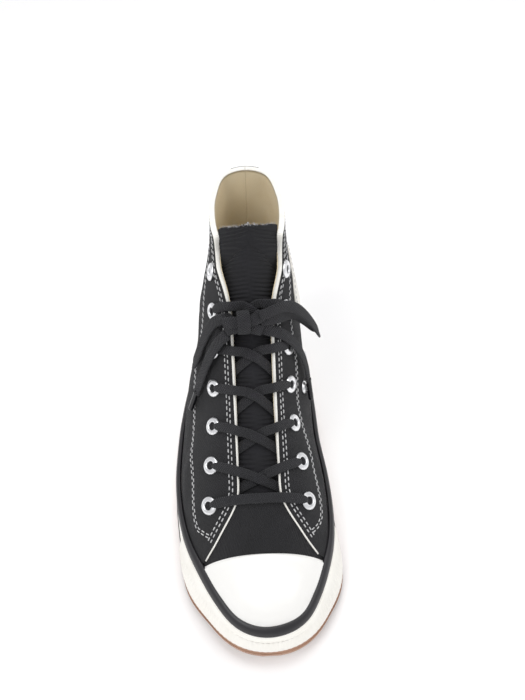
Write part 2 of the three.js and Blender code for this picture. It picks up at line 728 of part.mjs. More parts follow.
// The bow. Its points are a list chosen by hand, out from the knot along each loop and end, in
// millimetres from the toe of the last.
const bowRoutes = {
  lace_loop_left: [
    [-15.2, 141.6, 128], [-18.4, 142.7, 126], [-22.5, 143.4, 122.4], [-26.2, 143, 116.2], [-29.8, 141.8, 107.8],
    [-32.8, 139.9, 100], [-35.4, 138.4, 93.4], [-36.6, 139.4, 89.8], [-35.2, 141.2, 90.2], [-32.6, 141.4, 94.6],
    [-30.2, 141.6, 99.6], [-26, 141.4, 107.2], [-21.6, 141, 114.4], [-18.2, 141, 118.4],
  ],
  lace_loop_right: [
    [4.8, 138.8, 132.2], [8.8, 140.4, 132.2], [14.6, 143.2, 132.6], [20.7, 147.4, 130], [27, 150.8, 123.6],
    [32.9, 153, 114.4], [37.6, 153.8, 105.6], [40.8, 154.4, 98], [41, 156.4, 94.8], [38.6, 158.4, 96],
    [35, 158.6, 101], [31, 158, 106.4], [27, 156, 112], [23, 152.4, 117.6], [19, 147.4, 121.6],
    [14.7, 143, 125], [9.3, 140.2, 126.8], [5.2, 139.2, 127.2],
  ],
  lace_end_left: [
    [-14.6, 136.4, 120], [-17.2, 136, 117.4], [-20.2, 135.3, 114], [-24.8, 133.4, 106.6], [-29.2, 132, 96],
    [-33.5, 128.8, 84], [-36.1, 126.8, 77],
  ],
  lace_end_right: [
    [5.2, 139, 121.4], [9.4, 138.8, 119.4], [16.2, 140.1, 115], [22.3, 140.9, 108.1], [27.1, 141.6, 99.3],
    [30.7, 140.6, 90.6], [33.1, 138.4, 81.8], [34.2, 134.7, 74.4],
  ],
};
const knotCentre = new THREE.Vector3(-5.4, 139.4, 127);
const knotSize = new THREE.Vector3(17, 11, 9);
const foldedShare = 0.7;

// A bow's ribbon lies flat over the surface below it, also behind the fold at a loop's end
function bowPiece(name) {
  const side = name.endsWith('left') ? LATERAL : MEDIAL;
  const curve = new THREE.CatmullRomCurve3(bowRoutes[name].map((p) => new THREE.Vector3(...p)));
  const steps = Math.round(curve.getLength() / (laceWidth * 0.5));
  const points = curve.getSpacedPoints(steps);
  let across = null;
  const outs = points.map((point, k) => {
    const place = nearestPlace(side, point);
    const along = curve.getTangentAt(k / steps);
    const flat = along.clone().cross(lastNormal(side, place.section, place.t));
    if (across && flat.length() < foldedShare) flat.copy(across);
    if (across && flat.dot(across) < 0) flat.negate();
    across = flat.addScaledVector(along, -flat.dot(along)).normalize();
    return across.clone().cross(along);
  });
  return ribbon(points, outs);
}

function tipOf(name) {
  const route = bowRoutes[name];
  const end = new THREE.Vector3(...route[route.length - 1]);
  const before = new THREE.Vector3(...route[route.length - 2]);
  const along = end.clone().sub(before).normalize();
  const turn = new THREE.Quaternion().setFromUnitVectors(new THREE.Vector3(0, 1, 0), along);
  const tip = new THREE.CylinderGeometry(tipRadius, tipRadius, tipLength, 8);
  tip.applyQuaternion(turn);
  const centre = end.addScaledVector(along, tipLength / 2 + seam);
  tip.translate(centre.x, centre.y, centre.z);
  return solid(tip);
}

function knot() {
  const ball = new THREE.SphereGeometry(0.5, 10, 6);
  ball.scale(knotSize.x, knotSize.y, knotSize.z);
  ball.translate(knotCentre.x, knotCentre.y, knotCentre.z);
  return solid(ball);
}

// Materials, with the photograph's colours
const materials = {
  canvas: new THREE.MeshStandardMaterial({ color: '#232428', roughness: 0.9, metalness: 0 }),
  whiteRubber: new THREE.MeshStandardMaterial({ color: '#efede6', roughness: 0.5, metalness: 0 }),
  blackRubber: new THREE.MeshStandardMaterial({ color: '#17171a', roughness: 0.45, metalness: 0 }),
  outsoleRubber: new THREE.MeshStandardMaterial({ color: '#a9775a', roughness: 0.7, metalness: 0 }),
  lining: new THREE.MeshStandardMaterial({ color: '#ecd9b8', roughness: 0.9, metalness: 0 }),
  aluminium: new THREE.MeshStandardMaterial({ color: '#e4e5e6', roughness: 0.3, metalness: 0.9 }),
  lace: new THREE.MeshStandardMaterial({ color: '#26262a', roughness: 0.85, metalness: 0 }),
  patch: new THREE.MeshStandardMaterial({ color: '#f1efe9', roughness: 0.7, metalness: 0 }),
};

const shoe = new THREE.Group();

function addPiece(name, geometry, material, matrix) {
  const mesh = new THREE.Mesh(geometry, material);
  mesh.name = name;
  if (matrix) matrix.decompose(mesh.position, mesh.quaternion, mesh.scale);
  shoe.add(mesh);
}

addPiece('outsole', geometryOf(outsole()), materials.outsoleRubber);
addPiece('foxing', geometryOf(foxing()), materials.whiteRubber);
addPiece('foxing_pinstripe', geometryOf(pinstripe()), materials.blackRubber);
addPiece('foxing_stripe', geometryOf(stripe()), materials.blackRubber);
addPiece('toe_bumper', geometryOf(toeBumper()), materials.whiteRubber);
addPiece('insole', geometryOf(insole()), materials.lining);
addPiece('upper', geometryOf(upper()), materials.canvas);
addPiece('toe_cap', geometryOf(toeCap()), materials.whiteRubber);
addPiece('heel_stay', geometryOf(heelStay()), materials.canvas);
addPiece('ankle_patch', geometryOf(anklePatch()), materials.patch);
addPiece('tongue', geometryOf(tongue()), materials.canvas);
for (const [label, places] of [['left', lateralEyelets], ['right', medialEyelets]]) {
  places.forEach((place, n) => {
    const ring = eyeletRing(eyeletRadius, eyeletBore);
    addPiece(`eyelet_${label}_${n + 1}`, ring, materials.aluminium, seatOn(place, quarterStep + eyeletLift));
  });
}
vents.forEach((place, n) => {
  const ring = eyeletRing(ventRadius, ventBore);
  addPiece(`vent_eyelet_${n + 1}`, ring, materials.aluminium, seatOn(place, quarterStep + eyeletLift));
});
addPiece('lace_bar', geometryOf(laceBar()), materials.lace);
for (let row = 0; row + 2 < eyeletRows; row++) {
  addPiece(`lace_cross_${row + 1}`, geometryOf(laceCross(row)), materials.lace);
}
addPiece('lace_knot', geometryOf(knot()), materials.lace);
for (const name of Object.keys(bowRoutes)) addPiece(name, geometryOf(bowPiece(name)), materials.lace);
addPiece('lace_tip_left', geometryOf(tipOf('lace_end_left')), materials.blackRubber);
addPiece('lace_tip_right', geometryOf(tipOf('lace_end_right')), materials.blackRubber);

// The origin is under the middle of the whole shoe
const box = new THREE.Box3();
for (const mesh of shoe.children) {
  if (!mesh.name.startsWith('lace_')) box.union(new THREE.Box3().setFromObject(mesh, true));
}
shoe.position.set(-(box.min.x + box.max.x) / 2, -(box.min.y + box.max.y) / 2, -box.min.z);

export default shoe;
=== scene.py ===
# %% [markdown]
# High top sneaker, right shoe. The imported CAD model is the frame: every piece here is laid on the same
# last, so the visible shoe fits round the solids. This cell loads the frame and keeps its size.

# %% Load the frame
import math
import random
import bpy
import numpy as np
from mathutils import Matrix, Vector


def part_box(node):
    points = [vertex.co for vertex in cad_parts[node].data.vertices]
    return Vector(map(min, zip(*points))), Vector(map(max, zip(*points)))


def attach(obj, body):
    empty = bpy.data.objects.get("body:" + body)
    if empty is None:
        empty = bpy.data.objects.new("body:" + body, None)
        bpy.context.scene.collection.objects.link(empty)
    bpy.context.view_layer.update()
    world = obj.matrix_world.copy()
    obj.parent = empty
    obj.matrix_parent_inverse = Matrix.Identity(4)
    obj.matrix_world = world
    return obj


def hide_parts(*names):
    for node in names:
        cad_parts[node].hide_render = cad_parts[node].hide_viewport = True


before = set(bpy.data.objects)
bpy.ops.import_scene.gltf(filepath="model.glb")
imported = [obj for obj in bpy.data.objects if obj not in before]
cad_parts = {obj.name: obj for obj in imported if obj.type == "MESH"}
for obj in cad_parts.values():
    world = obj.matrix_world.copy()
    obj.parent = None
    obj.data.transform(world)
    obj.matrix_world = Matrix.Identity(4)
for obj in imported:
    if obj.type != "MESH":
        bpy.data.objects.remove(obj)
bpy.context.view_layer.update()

MM = 0.001

# %% [markdown]
# The camera stands where the photographer stood: close in front of the toe and looking down, with a wide
# view, so the toe is large and the collar small. Its place was found from known points of the shoe.

# %% Camera
camera_at = Vector((0.575, -219.88, 399.19)) * MM
camera_target = Vector((9.336, 54.386, 60.0)) * MM
camera_roll = -0.020
sensor_height = 24.0
lens_length = 21.85

camera_data = bpy.data.cameras.new("camera")
camera_data.sensor_fit = "VERTICAL"
camera_data.sensor_height = sensor_height
camera_data.lens = lens_length
camera_data.clip_start = 0.01
camera = bpy.data.objects.new("camera", camera_data)
bpy.context.scene.collection.objects.link(camera)
ahead = (camera_target - camera_at).normalized()
level_right = ahead.cross(Vector((0, 0, 1))).normalized()
level_up = level_right.cross(ahead)
right = level_right * math.cos(camera_roll) + level_up * math.sin(camera_roll)
up = level_up * math.cos(camera_roll) - level_right * math.sin(camera_roll)
turn = Matrix((right, up, -ahead)).transposed().to_4x4()
camera.matrix_world = Matrix.Translation(camera_at) @ turn
bpy.context.scene.camera = camera
print("camera is", round((camera_target - camera_at).length, 3), "m from its target")

# %% [markdown]
# A shoe is built on a last, a solid form of the foot. Here the last is a row of ribs from toe to heel,
# each one bent by four points, in the same sizes as the CAD source. A point of the shoe is then named by
# its side, its section along the last and its height t up the rib, and any cut panel, seam or stitch can
# be laid on it. Numpy works out many such points at once.

# %% The last
last_length = 243.0
ball_width = 89.5
toe_height = 43.0
instep_height = 97.0
collar_height = 161.0
collar_width = 41.0
feather_height = 6.3
toe_spring = 9.0
spring_length = 78.0
arch_rise = 1.2
LATERAL, MEDIAL = -1, 1
frame_shift = np.array([2.53, -117.93, 0.0])

# foot, lateral, medial, top, toe, instep, collar, half,
# foot hold, top hold, upright, swell, sweep, crown
last_sections = np.array([
    [0, .017, .017, .095, 1, 0, 0, 0, .66, .85, 0, 0, .03, 1],
    [.0165, -.151, .216, .107, 1.011, 0, 0, 0, .65, .78, 0, .01, .05, 1],
    [.066, -.279, .328, .132, 1.052, 0, 0, 0, .64, .75, 0, .013, .1, 1],
    [.14, -.434, .452, .173, 1.089, 0, 0, 0, .56, .6, 0, .023, .2, 1],
    [.263, -.509, .462, .255, .7, .31, 0, 0, .64, .63, 0, .049, .3, .7],
    [.387, -.543, .448, .362, .3, .631, 0, 0, .67, .47, 0, .063, .3, .43],
    [.51, -.534, .415, .469, 0, .967, 0, 0, .51, .44, 0, .061, .25, .24],
    [.634, -.494, .409, .568, 0, .55, .406, 0, .64, .49, 0, .047, .25, .17],
    [.737, -.439, .38, .634, 0, .1, .873, 0, .325, .67, .05, .07, .295, 0],
    [.802, -.396, .37, .663, 0, 0, 1.031, 0, .308, .85, .04, .047, .12, .138],
    [.833, -.386, .365, .681, 0, 0, 1.029, .264, .518, .812, .202, .03, .155, .295],
    [.86, -.373, .359, .696, 0, 0, 1.025, .427, .543, .667, .36, .031, .222, .885],
    [.91, -.339, .344, .778, 0, 0, 1.003, .5, .43, .44, .53, .029, .2, .73],
    [.955, -.265, .279, .872, 0, 0, .985, .495, .4, .45, .9, .022, .2, .7],
    [.988, -.156, .168, .961, 0, 0, .985, .354, .4, .35, 1, 0, .2, .7],
    [1, 0, 0, .977, 0, 0, 1, 0, .4, .35, 1, 0, .2, .7],
])
collar_section = 9
last_section = len(last_sections) - 1


def catmull_rom(a, b, c, d, t):
    return 0.5 * (2 * b + (c - a) * t + (2 * a - 5 * b + 4 * c - d) * t**2
                  + (3 * b - a - 3 * c + d) * t**3)


def sole_lift(y):
    before_ball = np.maximum(0, (spring_length - y) / spring_length)
    waist = np.maximum(0, 1 - np.abs(y / last_length - 0.56) / 0.14)
    return toe_spring * before_ball**2 + arch_rise * waist**2 * (3 - 2 * waist)


def section_rib(side, k):
    beyond = k < 0 or k > last_section
    row = last_sections[-k if k < 0 else 2 * last_section - k if k > last_section else k]
    own = -side if beyond else side
    (foot_y, lateral, medial, top_y, toe, instep, collar, half,
     foot_hold, top_hold, upright, swell, sweep, crown) = row
    y = last_length * foot_y
    foot = np.array([ball_width * (lateral if own == LATERAL else medial), y,
                     feather_height + sole_lift(y)])
    top = np.array([own * collar_width * half, last_length * top_y,
                    toe_height * toe + instep_height * instep + collar_height * collar])
    rise = top[2] - foot[2]
    low = foot + [own * ball_width * swell, (top[1] - foot[1]) * sweep, foot_hold * rise]
    high = top + [(foot[0] - top[0]) * top_hold * (1 - upright),
                  (foot[1] - top[1]) * top_hold * crown, -rise * top_hold * upright]
    return np.array([foot, low, high, top])


rib_table = np.array([[section_rib(side, k) for k in range(-3, last_section + 4)]
                      for side in (LATERAL, MEDIAL)])


def last_point(side, section, t):
    side, section, t = np.broadcast_arrays(np.asarray(side, float), np.asarray(section, float),
                                           np.asarray(t, float))
    turned = (section < 0) | (section > last_section)
    side = np.where(turned, -side, side)
    section = np.where(section < 0, -section, section)
    section = np.where(section > last_section, 2 * last_section - section, section)
    k = np.clip(np.floor(section).astype(int), 0, last_section - 1)
    share = (section - k)[..., None, None]
    own = (side > 0).astype(int)
    rib = catmull_rom(*[rib_table[own, k + 2 + j] for j in range(4)], share)
    rib[..., 0, 2] = feather_height + sole_lift(rib[..., 0, 1])
    rib[..., 3, 0] = np.where(section <= collar_section, 0, rib[..., 3, 0])
    t = t[..., None]
    return ((1 - t)**3 * rib[..., 0, :] + 3 * (1 - t)**2 * t * rib[..., 1, :]
            + 3 * (1 - t) * t**2 * rib[..., 2, :] + t**3 * rib[..., 3, :])


def unit(vectors):
    return vectors / np.maximum(np.linalg.norm(vectors, axis=-1, keepdims=True), 1e-9)


def last_slopes(side, section, t, h=0.01):
    t = np.asarray(t, float)
    along = last_point(side, section + h, t) - last_point(side, section - h, t)
    high, low = np.minimum(t + h, 1), np.maximum(t - h, 0)
    rise = last_point(side, section, high) - last_point(side, section, low)
    return along / (2 * h), rise / (high - low)[..., None]


def last_normal(side, section, t):
    side, section, t = np.broadcast_arrays(np.asarray(side, float), np.asarray(section, float),
                                           np.asarray(t, float))
    along, rise = last_slopes(side, section, t)
    normal = unit(np.cross(along, rise) * side[..., None])
    on_ridge = (t > 0.995) & (section <= collar_section)
    normal[..., 0] = np.where(on_ridge, 0, normal[..., 0])
    return unit(normal)


print("last:", len(last_sections), "sections,", last_length, "mm long")

# %% [markdown]
# Pieces are made as plain lists of points and faces, so each is what the code says and no more. UVs are
# the real millimetres along and across the piece: a weave or braid then has its true size everywhere.

# %% Mesh helpers
def make_piece(name, points, faces, material, uv=None, replaced=()):
    points = np.asarray(points, float)
    mesh = bpy.data.meshes.new(name)
    mesh.from_pydata(((points + frame_shift) * MM).tolist(), [], [list(map(int, f)) for f in faces])
    if uv is not None:
        layer = mesh.uv_layers.new(name="millimetres")
        loops = np.empty(len(mesh.loops), int)
        mesh.loops.foreach_get("vertex_index", loops)
        layer.data.foreach_set("uv", np.asarray(uv, float)[loops].ravel())
    mesh.polygons.foreach_set("use_smooth", [True] * len(mesh.polygons))
    mesh.materials.append(material)
    mesh.validate()
    piece = bpy.data.objects.new(name, mesh)
    bpy.context.scene.collection.objects.link(piece)
    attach(piece, "root")
    if replaced:
        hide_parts(*replaced)
    return piece


def grid_faces(rows, columns, start=0, close_rows=False, close_columns=False):
    faces = []
    for i in range(rows if close_rows else rows - 1):
        for j in range(columns if close_columns else columns - 1):
            a, b = i * columns + j, i * columns + (j + 1) % columns
            c, d = ((i + 1) % rows) * columns + (j + 1) % columns, ((i + 1) % rows) * columns + j
            faces.append([start + a, start + b, start + c, start + d])
    return faces


def capped_faces(rows, columns):
    """Faces of a row of closed rings, with the first and last ring filled."""
    last = (rows - 1) * columns
    return grid_faces(rows, columns, close_columns=True) + [
        list(range(columns))[::-1], list(range(last, last + columns))]


def outward(points, faces):
    """Turns all faces round if the closed mesh has its inside out."""
    fans = np.array([(face[0], face[k], face[k + 1]) for face in faces for k in range(1, len(face) - 1)])
    a, b, c = points[fans].swapaxes(0, 1)
    volume = (a * np.cross(b, c)).sum()
    return faces if volume > 0 else [face[::-1] for face in faces]


def evened(values, times, directions=False):
    """Averages each row with its two neighbours. The first and the last row stay."""
    values = values.copy()
    for _ in range(times):
        mixed = values[:-2] + 2 * values[1:-1] + values[2:]
        values[1:-1] = unit(mixed) if directions else mixed / 4
    return values


def sheet_shell(outer, inner):
    """A closed sheet between two grids of points: both faces and the strips round its four edges."""
    rows, columns = outer.shape[:2]
    points = np.concatenate([outer.reshape(-1, 3), inner.reshape(-1, 3)])
    count = rows * columns
    faces = grid_faces(rows, columns)
    faces += [face[::-1] for face in grid_faces(rows, columns, count)]
    rim = [i * columns for i in range(rows)] + [(rows - 1) * columns + j for j in range(1, columns)]
    rim += [i * columns + columns - 1 for i in range(rows - 2, -1, -1)]
    rim += list(range(columns - 2, 0, -1))
    for a, b in zip(rim, rim[1:] + rim[:1]):
        faces.append([b, a, a + count, b + count])
    return points, outward(points, faces)


def path_lengths(path):
    steps = np.linalg.norm(np.diff(path, axis=0), axis=1)
    return np.concatenate([[0], np.cumsum(steps)])


def resample(path, count):
    at = path_lengths(path)
    wanted = np.linspace(0, at[-1], count)
    return np.stack([np.interp(wanted, at, path[:, k]) for k in range(path.shape[1])], axis=1)


def smooth_curve(points, per_span=12):
    points = np.asarray(points, float)
    padded = np.concatenate([[2 * points[0] - points[1]], points, [2 * points[-1] - points[-2]]])
    spans = [catmull_rom(*[padded[k + j] for j in range(4)], np.linspace(0, 1, per_span, False)[:, None])
             for k in range(len(points) - 1)]
    return np.concatenate(spans + [points[-1:]])


def tube(path, outs, half_across, half_out, sides=12, squareness=1.0, closed=False):
    """A rod along a path whose section is an oval, or nearly a rectangle with a smaller squareness."""
    count = len(path)
    back, forth = (np.roll(path, 1, 0), np.roll(path, -1, 0)) if closed else (
        np.concatenate([path[:1], path[:-1]]), np.concatenate([path[1:], path[-1:]]))
    along = unit(forth - back)
    across = unit(np.cross(along, outs))
    out = np.cross(across, along)
    half_across = np.broadcast_to(half_across, count)[:, None, None]
    half_out = np.broadcast_to(half_out, count)[:, None, None]
    angle = np.arange(sides) / sides * 2 * np.pi
    wide = (np.sign(np.cos(angle)) * np.abs(np.cos(angle))**squareness)[None, :, None]
    tall = (np.sign(np.sin(angle)) * np.abs(np.sin(angle))**squareness)[None, :, None]
    rings = path[:, None] + across[:, None] * wide * half_across + out[:, None] * tall * half_out
    points = rings.reshape(-1, 3)
    faces = grid_faces(count, sides, close_rows=True, close_columns=True) if closed else (
        capped_faces(count, sides))
    over = np.tile(wide[0, :, 0], count) * half_across.repeat(sides)
    uv = np.stack([np.repeat(path_lengths(path), sides), over], 1)
    return points, outward(points, faces), uv


def make_joined(name, parts, material, replaced=()):
    """One piece of many parts, each given as its points, faces and uv."""
    points, faces, uvs = zip(*parts)
    starts = np.cumsum([0] + [len(part) for part in points[:-1]])
    faces = [[start + k for k in face] for start, part in zip(starts, faces) for face in part]
    return make_piece(name, np.concatenate(points), faces, material, np.concatenate(uvs), replaced)


def millimetre_uv(points):
    along = np.cumsum(np.pad(np.linalg.norm(np.diff(points, axis=0), axis=2), ((1, 0), (0, 0))), axis=0)
    up = np.cumsum(np.pad(np.linalg.norm(np.diff(points, axis=1), axis=2), ((0, 0), (1, 0))), axis=1)
    return np.stack([along.mean(1, keepdims=True) + 0 * along, up], -1)


def make_sheet(name, outer, inner, material, replaced=(), uv=None):
    """A closed sheet between two grids of points, with the same millimetres on both faces."""
    points, faces = sheet_shell(outer, inner)
    uv = (millimetre_uv(outer) if uv is None else uv).reshape(-1, 2)
    return make_piece(name, points, faces, material, np.concatenate([uv, uv]), replaced)


# %% [markdown]
# Every finish starts from the real material. Hex colours are what a colour picker shows, so one function
# turns them to the linear light that a renderer adds up. One more function adds a node: its settings are
# set by name, and an input is either a value or another node's socket.

# %% Material helpers
def linear(hex_colour):
    parts = [int(hex_colour[k:k + 2], 16) / 255 for k in (1, 3, 5)]
    return tuple(p / 12.92 if p <= 0.04045 else ((p + 0.055) / 1.055)**2.4 for p in parts) + (1.0,)


def add_node(tree, kind, inputs=(), **settings):
    node = tree.nodes.new(kind)
    for key, value in settings.items():
        setattr(node, key, value)
    for key, value in dict(inputs).items():
        if isinstance(value, bpy.types.NodeSocket):
            tree.links.new(value, node.inputs[key])
        else:
            node.inputs[key].default_value = value
    return node


def make_finish(name, roughness, dark, light, spots, weave=None, grain=None, detail=4.0, ior=1.5,
                metallic=0.0, **sockets):
    """A finish whose colour wanders between two shades, with the relief of a weave or of a grain.

    spots, and the first number of a grain, are per metre. A weave is two crossed sets of threads, given
    by their pitches and height in the piece's own millimetres. A metal keeps the default IOR."""
    material = bpy.data.materials.new(name)
    material.use_nodes = True
    tree = material.node_tree
    tree.nodes.clear()
    shader = add_node(tree, "ShaderNodeBsdfPrincipled", {"Roughness": roughness, "Metallic": metallic})
    if metallic == 0:
        shader.inputs["IOR"].default_value = ior
    for key, value in sockets.items():
        shader.inputs[key.replace("_", " ")].default_value = value
    add_node(tree, "ShaderNodeOutputMaterial", {"Surface": shader.outputs[0]})
    places = add_node(tree, "ShaderNodeTexCoord")
    here = places.outputs["Object"]
    noise = add_node(tree, "ShaderNodeTexNoise", {"Vector": here, "Scale": spots, "Detail": detail})
    shades = {"Factor": noise.outputs[0], 6: linear(dark), 7: linear(light)}
    mix = add_node(tree, "ShaderNodeMix", shades, data_type="RGBA")
    tree.links.new(mix.outputs[2], shader.inputs["Base Color"])
    if weave:
        split = add_node(tree, "ShaderNodeSeparateXYZ", {0: places.outputs["UV"]})
        waves = []
        for axis in (0, 1):
            turns = {0: split.outputs[axis], 1: 2 * math.pi / weave[axis]}
            angle = add_node(tree, "ShaderNodeMath", turns, operation="MULTIPLY")
            wave = add_node(tree, "ShaderNodeMath", {0: angle.outputs[0]}, operation="SINE")
            waves.append(wave.outputs[0])
        relief = add_node(tree, "ShaderNodeMath", {0: waves[0], 1: waves[1]}, operation="MULTIPLY")
    elif grain:
        relief = add_node(tree, "ShaderNodeTexNoise", {"Vector": here, "Scale": grain[0], "Detail": 3.0})
    if weave or grain:
        height = (weave or grain)[-1] * MM
        bump = add_node(tree, "ShaderNodeBump", {"Height": relief.outputs[0], "Distance": height,
                                                 "Strength": 1.0})
        tree.links.new(bump.outputs[0], shader.inputs["Normal"])
    return material


# %% [markdown]
# The lace is a flat polyester braid, 8 mm wide when new and drawn in to 6.6 mm by wear. It is matt black,
# with fine slanting ribs where its yarns cross over. The ribs are about 1 mm apart on the real lace. They
# are drawn at 1.3 mm, so they show. The tips are black acetate moulded tight round the lace, which makes
# them glossy.

# %% Lace and lace tip finishes
braided_polyester = make_finish("braided_polyester", 0.8, "#17171a", "#2a2a2f", 500,
                                weave=(1.3, 2.0, 0.55), Sheen_Weight=0.06, Sheen_Roughness=0.5)
moulded_acetate = make_finish("moulded_acetate", 0.22, "#0d0d10", "#17171b", 300, grain=(500, 0.02),
                              ior=1.48)
print("lace finishes:", braided_polyester.name, moulded_acetate.name)

# %% [markdown]
# The bow's two loops and two ends are loose cords, so they come before the rest. Each follows the same
# points as its solid in the CAD source. A flat lace needs to know which way its face looks: it lies on
# the shoe, so its face follows the last's outward direction at the nearest place, and is carried smoothly
# round the folds.

# %% Bow routes
lace_width = 6.6
lace_thickness = 1.6
bow_routes = {
    "lace_loop_left": [
        [-15.2, 141.6, 128], [-18.4, 142.7, 126], [-22.5, 143.4, 122.4], [-26.2, 143, 116.2],
        [-29.8, 141.8, 107.8], [-32.8, 139.9, 100], [-35.4, 138.4, 93.4], [-36.6, 139.4, 89.8],
        [-35.2, 141.2, 90.2], [-32.6, 141.4, 94.6], [-30.2, 141.6, 99.6], [-26, 141.4, 107.2],
        [-21.6, 141, 114.4], [-18.2, 141, 118.4]],
    "lace_loop_right": [
        [4.8, 138.8, 132.2], [8.8, 140.4, 132.2], [14.6, 143.2, 132.6], [20.7, 147.4, 130],
        [27, 150.8, 123.6], [32.9, 153, 114.4], [37.6, 153.8, 105.6], [40.8, 154.4, 98],
        [41, 156.4, 94.8], [38.6, 158.4, 96], [35, 158.6, 101], [31, 158, 106.4], [27, 156, 112],
        [23, 152.4, 117.6], [19, 147.4, 121.6], [14.7, 143, 125], [9.3, 140.2, 126.8],
        [5.2, 139.2, 127.2]],
    "lace_end_left": [
        [-14.6, 136.4, 120], [-17.2, 136, 117.4], [-20.2, 135.3, 114], [-24.8, 133.4, 106.6],
        [-29.2, 132, 96], [-33.5, 128.8, 84], [-36.1, 126.8, 77]],
    "lace_end_right": [
        [5.2, 139, 121.4], [9.4, 138.8, 119.4], [16.2, 140.1, 115], [22.3, 140.9, 108.1],
        [27.1, 141.6, 99.3], [30.7, 140.6, 90.6], [33.1, 138.4, 81.8], [34.2, 134.7, 74.4]],
}

search_sections, search_levels = np.meshgrid(np.linspace(3, 15, 241), np.linspace(0.05, 1, 96),
                                             indexing="ij")
search_points = {side: last_point(side, search_sections, search_levels) for side in (LATERAL, MEDIAL)}


def nearest_place(side, target):
    far = np.linalg.norm(search_points[side] - target, axis=-1)
    i, j = np.unravel_index(np.argmin(far), far.shape)
    return float(search_sections[i, j]), float(search_levels[i, j])


def lace_faces_out(path, side, folded_share=0.7):
    """The direction a flat lace's face looks at each point of its path."""
    tangents = unit(np.gradient(path, axis=0))
    across, outs = None, []
    for point, along in zip(path, tangents):
        section, level = nearest_place(side, point)
        flat = np.cross(along, last_normal(side, section, level))
        if across is not None and np.linalg.norm(flat) < folded_share:
            flat = across.copy()
        if across is not None and flat @ across < 0:
            flat = -flat
        across = unit(flat - along * (flat @ along))
        outs.append(np.cross(across, along))
    return evened(np.array(outs), 4, directions=True)


def lace(path, outs, half_across=None):
    return tube(path, outs, lace_width / 2 if half_across is None else half_across,
                lace_thickness / 2, sides=16, squareness=0.6)


# %% [markdown]
# Each loop and each end is one tube with an almost rectangular section.

# %% Bow pieces
tip_overlap = 1.5
tip_stations = np.array([0, 0.3, 1.2, 2.5, 8, 13, 14.6, 15.2, 15.5])
tip_girths = np.array([1.5, 1.9, 1.85, 1.7, 1.7, 1.7, 1.62, 1.3, 0.5])
for name, route in bow_routes.items():
    path = resample(smooth_curve(route), 60)
    side = LATERAL if name.endswith("left") else MEDIAL
    points, faces, uv = lace(path, lace_faces_out(path, side))
    piece = make_piece(name + "_braid", points, faces, braided_polyester, uv, [name])
    loop = "loop" in name
    together = []
    if not loop:
        along = unit(path[-1] - path[-2])
        tip_path = path[-1] + along * (tip_stations[:, None] - tip_overlap)
        tip_out = np.broadcast_to(np.array([0, -0.9, 0.4]), tip_path.shape)
        points, faces, uv = tube(tip_path, tip_out, tip_girths, tip_girths, sides=20)
        tip_name = name.replace("end", "tip")
        together = [make_piece(tip_name + "_sleeve", points, faces, moulded_acetate, uv,
                               [tip_name])]
    length = float(path_lengths(path)[-1]) * MM
    print(name, "is", round(length * 1000), "mm long")

# %% [markdown]
# The canvas upper is black cotton duck with a plain weave. Real duck has about two threads to a
# millimetre; here they are 1.1 mm apart, so the weave shows. Lining, tape and thread are natural cotton.

# %% Cloth finishes
cotton_duck = make_finish("cotton_duck", 0.88, "#121215", "#232327", 140, weave=(1.1, 1.1, 0.45), detail=6,
                          Sheen_Weight=0.05, Sheen_Roughness=0.5)
ribbed_duck = make_finish("ribbed_duck", 0.9, "#0d0d10", "#1a1a1f", 160, weave=(2.6, 60.0, 0.4), detail=6,
                          Sheen_Weight=0.04, Sheen_Roughness=0.5)
cream_twill = make_finish("cream_twill", 0.9, "#f3e1bb", "#fdf0d2", 90, weave=(1.2, 1.2, 0.15), detail=5,
                          Sheen_Weight=0.04)
cotton_tape = make_finish("cotton_tape", 0.82, "#f3f0e6", "#fdfcf8", 220, weave=(0.9, 0.9, 0.12))
sewing_thread = make_finish("sewing_thread", 0.75, "#9c9ca0", "#d6d6d4", 260, grain=(3000, 0.05))
bonded_vinyl = make_finish("bonded_vinyl", 0.5, "#e9e6dd", "#f5f3ec", 120, grain=(1500, 0.05))
print("finishes so far:", len(bpy.data.materials))

# %% [markdown]
# The sole is vulcanised rubber. The toe cap is dipped and cured against a smooth mould, so it is glossy.
# The sidewall strip is rolled and slightly matt, and the outsole is a brown compound. The eyelets are
# pressed aluminium, rolled over at the rim, with the soft gloss of a tumbled finish.

# %% Rubber and metal finishes
rubber_ior = 1.52
glossy_rubber = make_finish("glossy_rubber", 0.3, "#eeede9", "#f5f4f1", 40, grain=(260, 0.06),
                            ior=rubber_ior, Coat_Weight=0.35, Coat_Roughness=0.12)
rolled_rubber = make_finish("rolled_rubber", 0.48, "#f3f1ea", "#fbfaf6", 60, grain=(900, 0.07),
                            ior=rubber_ior)
pebbled_rubber = make_finish("pebbled_rubber", 0.55, "#f0ede4", "#faf8f2", 80, grain=(1400, 0.1),
                             ior=rubber_ior)
black_rubber = make_finish("black_rubber", 0.4, "#151417", "#242226", 90, grain=(900, 0.05),
                           ior=rubber_ior)
brown_rubber = make_finish("brown_rubber", 0.65, "#a5806a", "#c4a08a", 70, grain=(1100, 0.12),
                           ior=rubber_ior)
pressed_aluminium = make_finish("pressed_aluminium", 0.32, "#e3e4e6", "#f5f5f6", 400, grain=(2200, 0.02),
                                metallic=1.0)
print("finishes:", len(bpy.data.materials))

# %% [markdown]
# The throat is the long opening over the tongue. Its edges stand an even half width from the ridge, and
# open a little towards the collar. In front, each quarter's edge turns out in a V to the toe cap. The
# top of each rib of the quarter is found by looking down the rib for where it passes that edge.

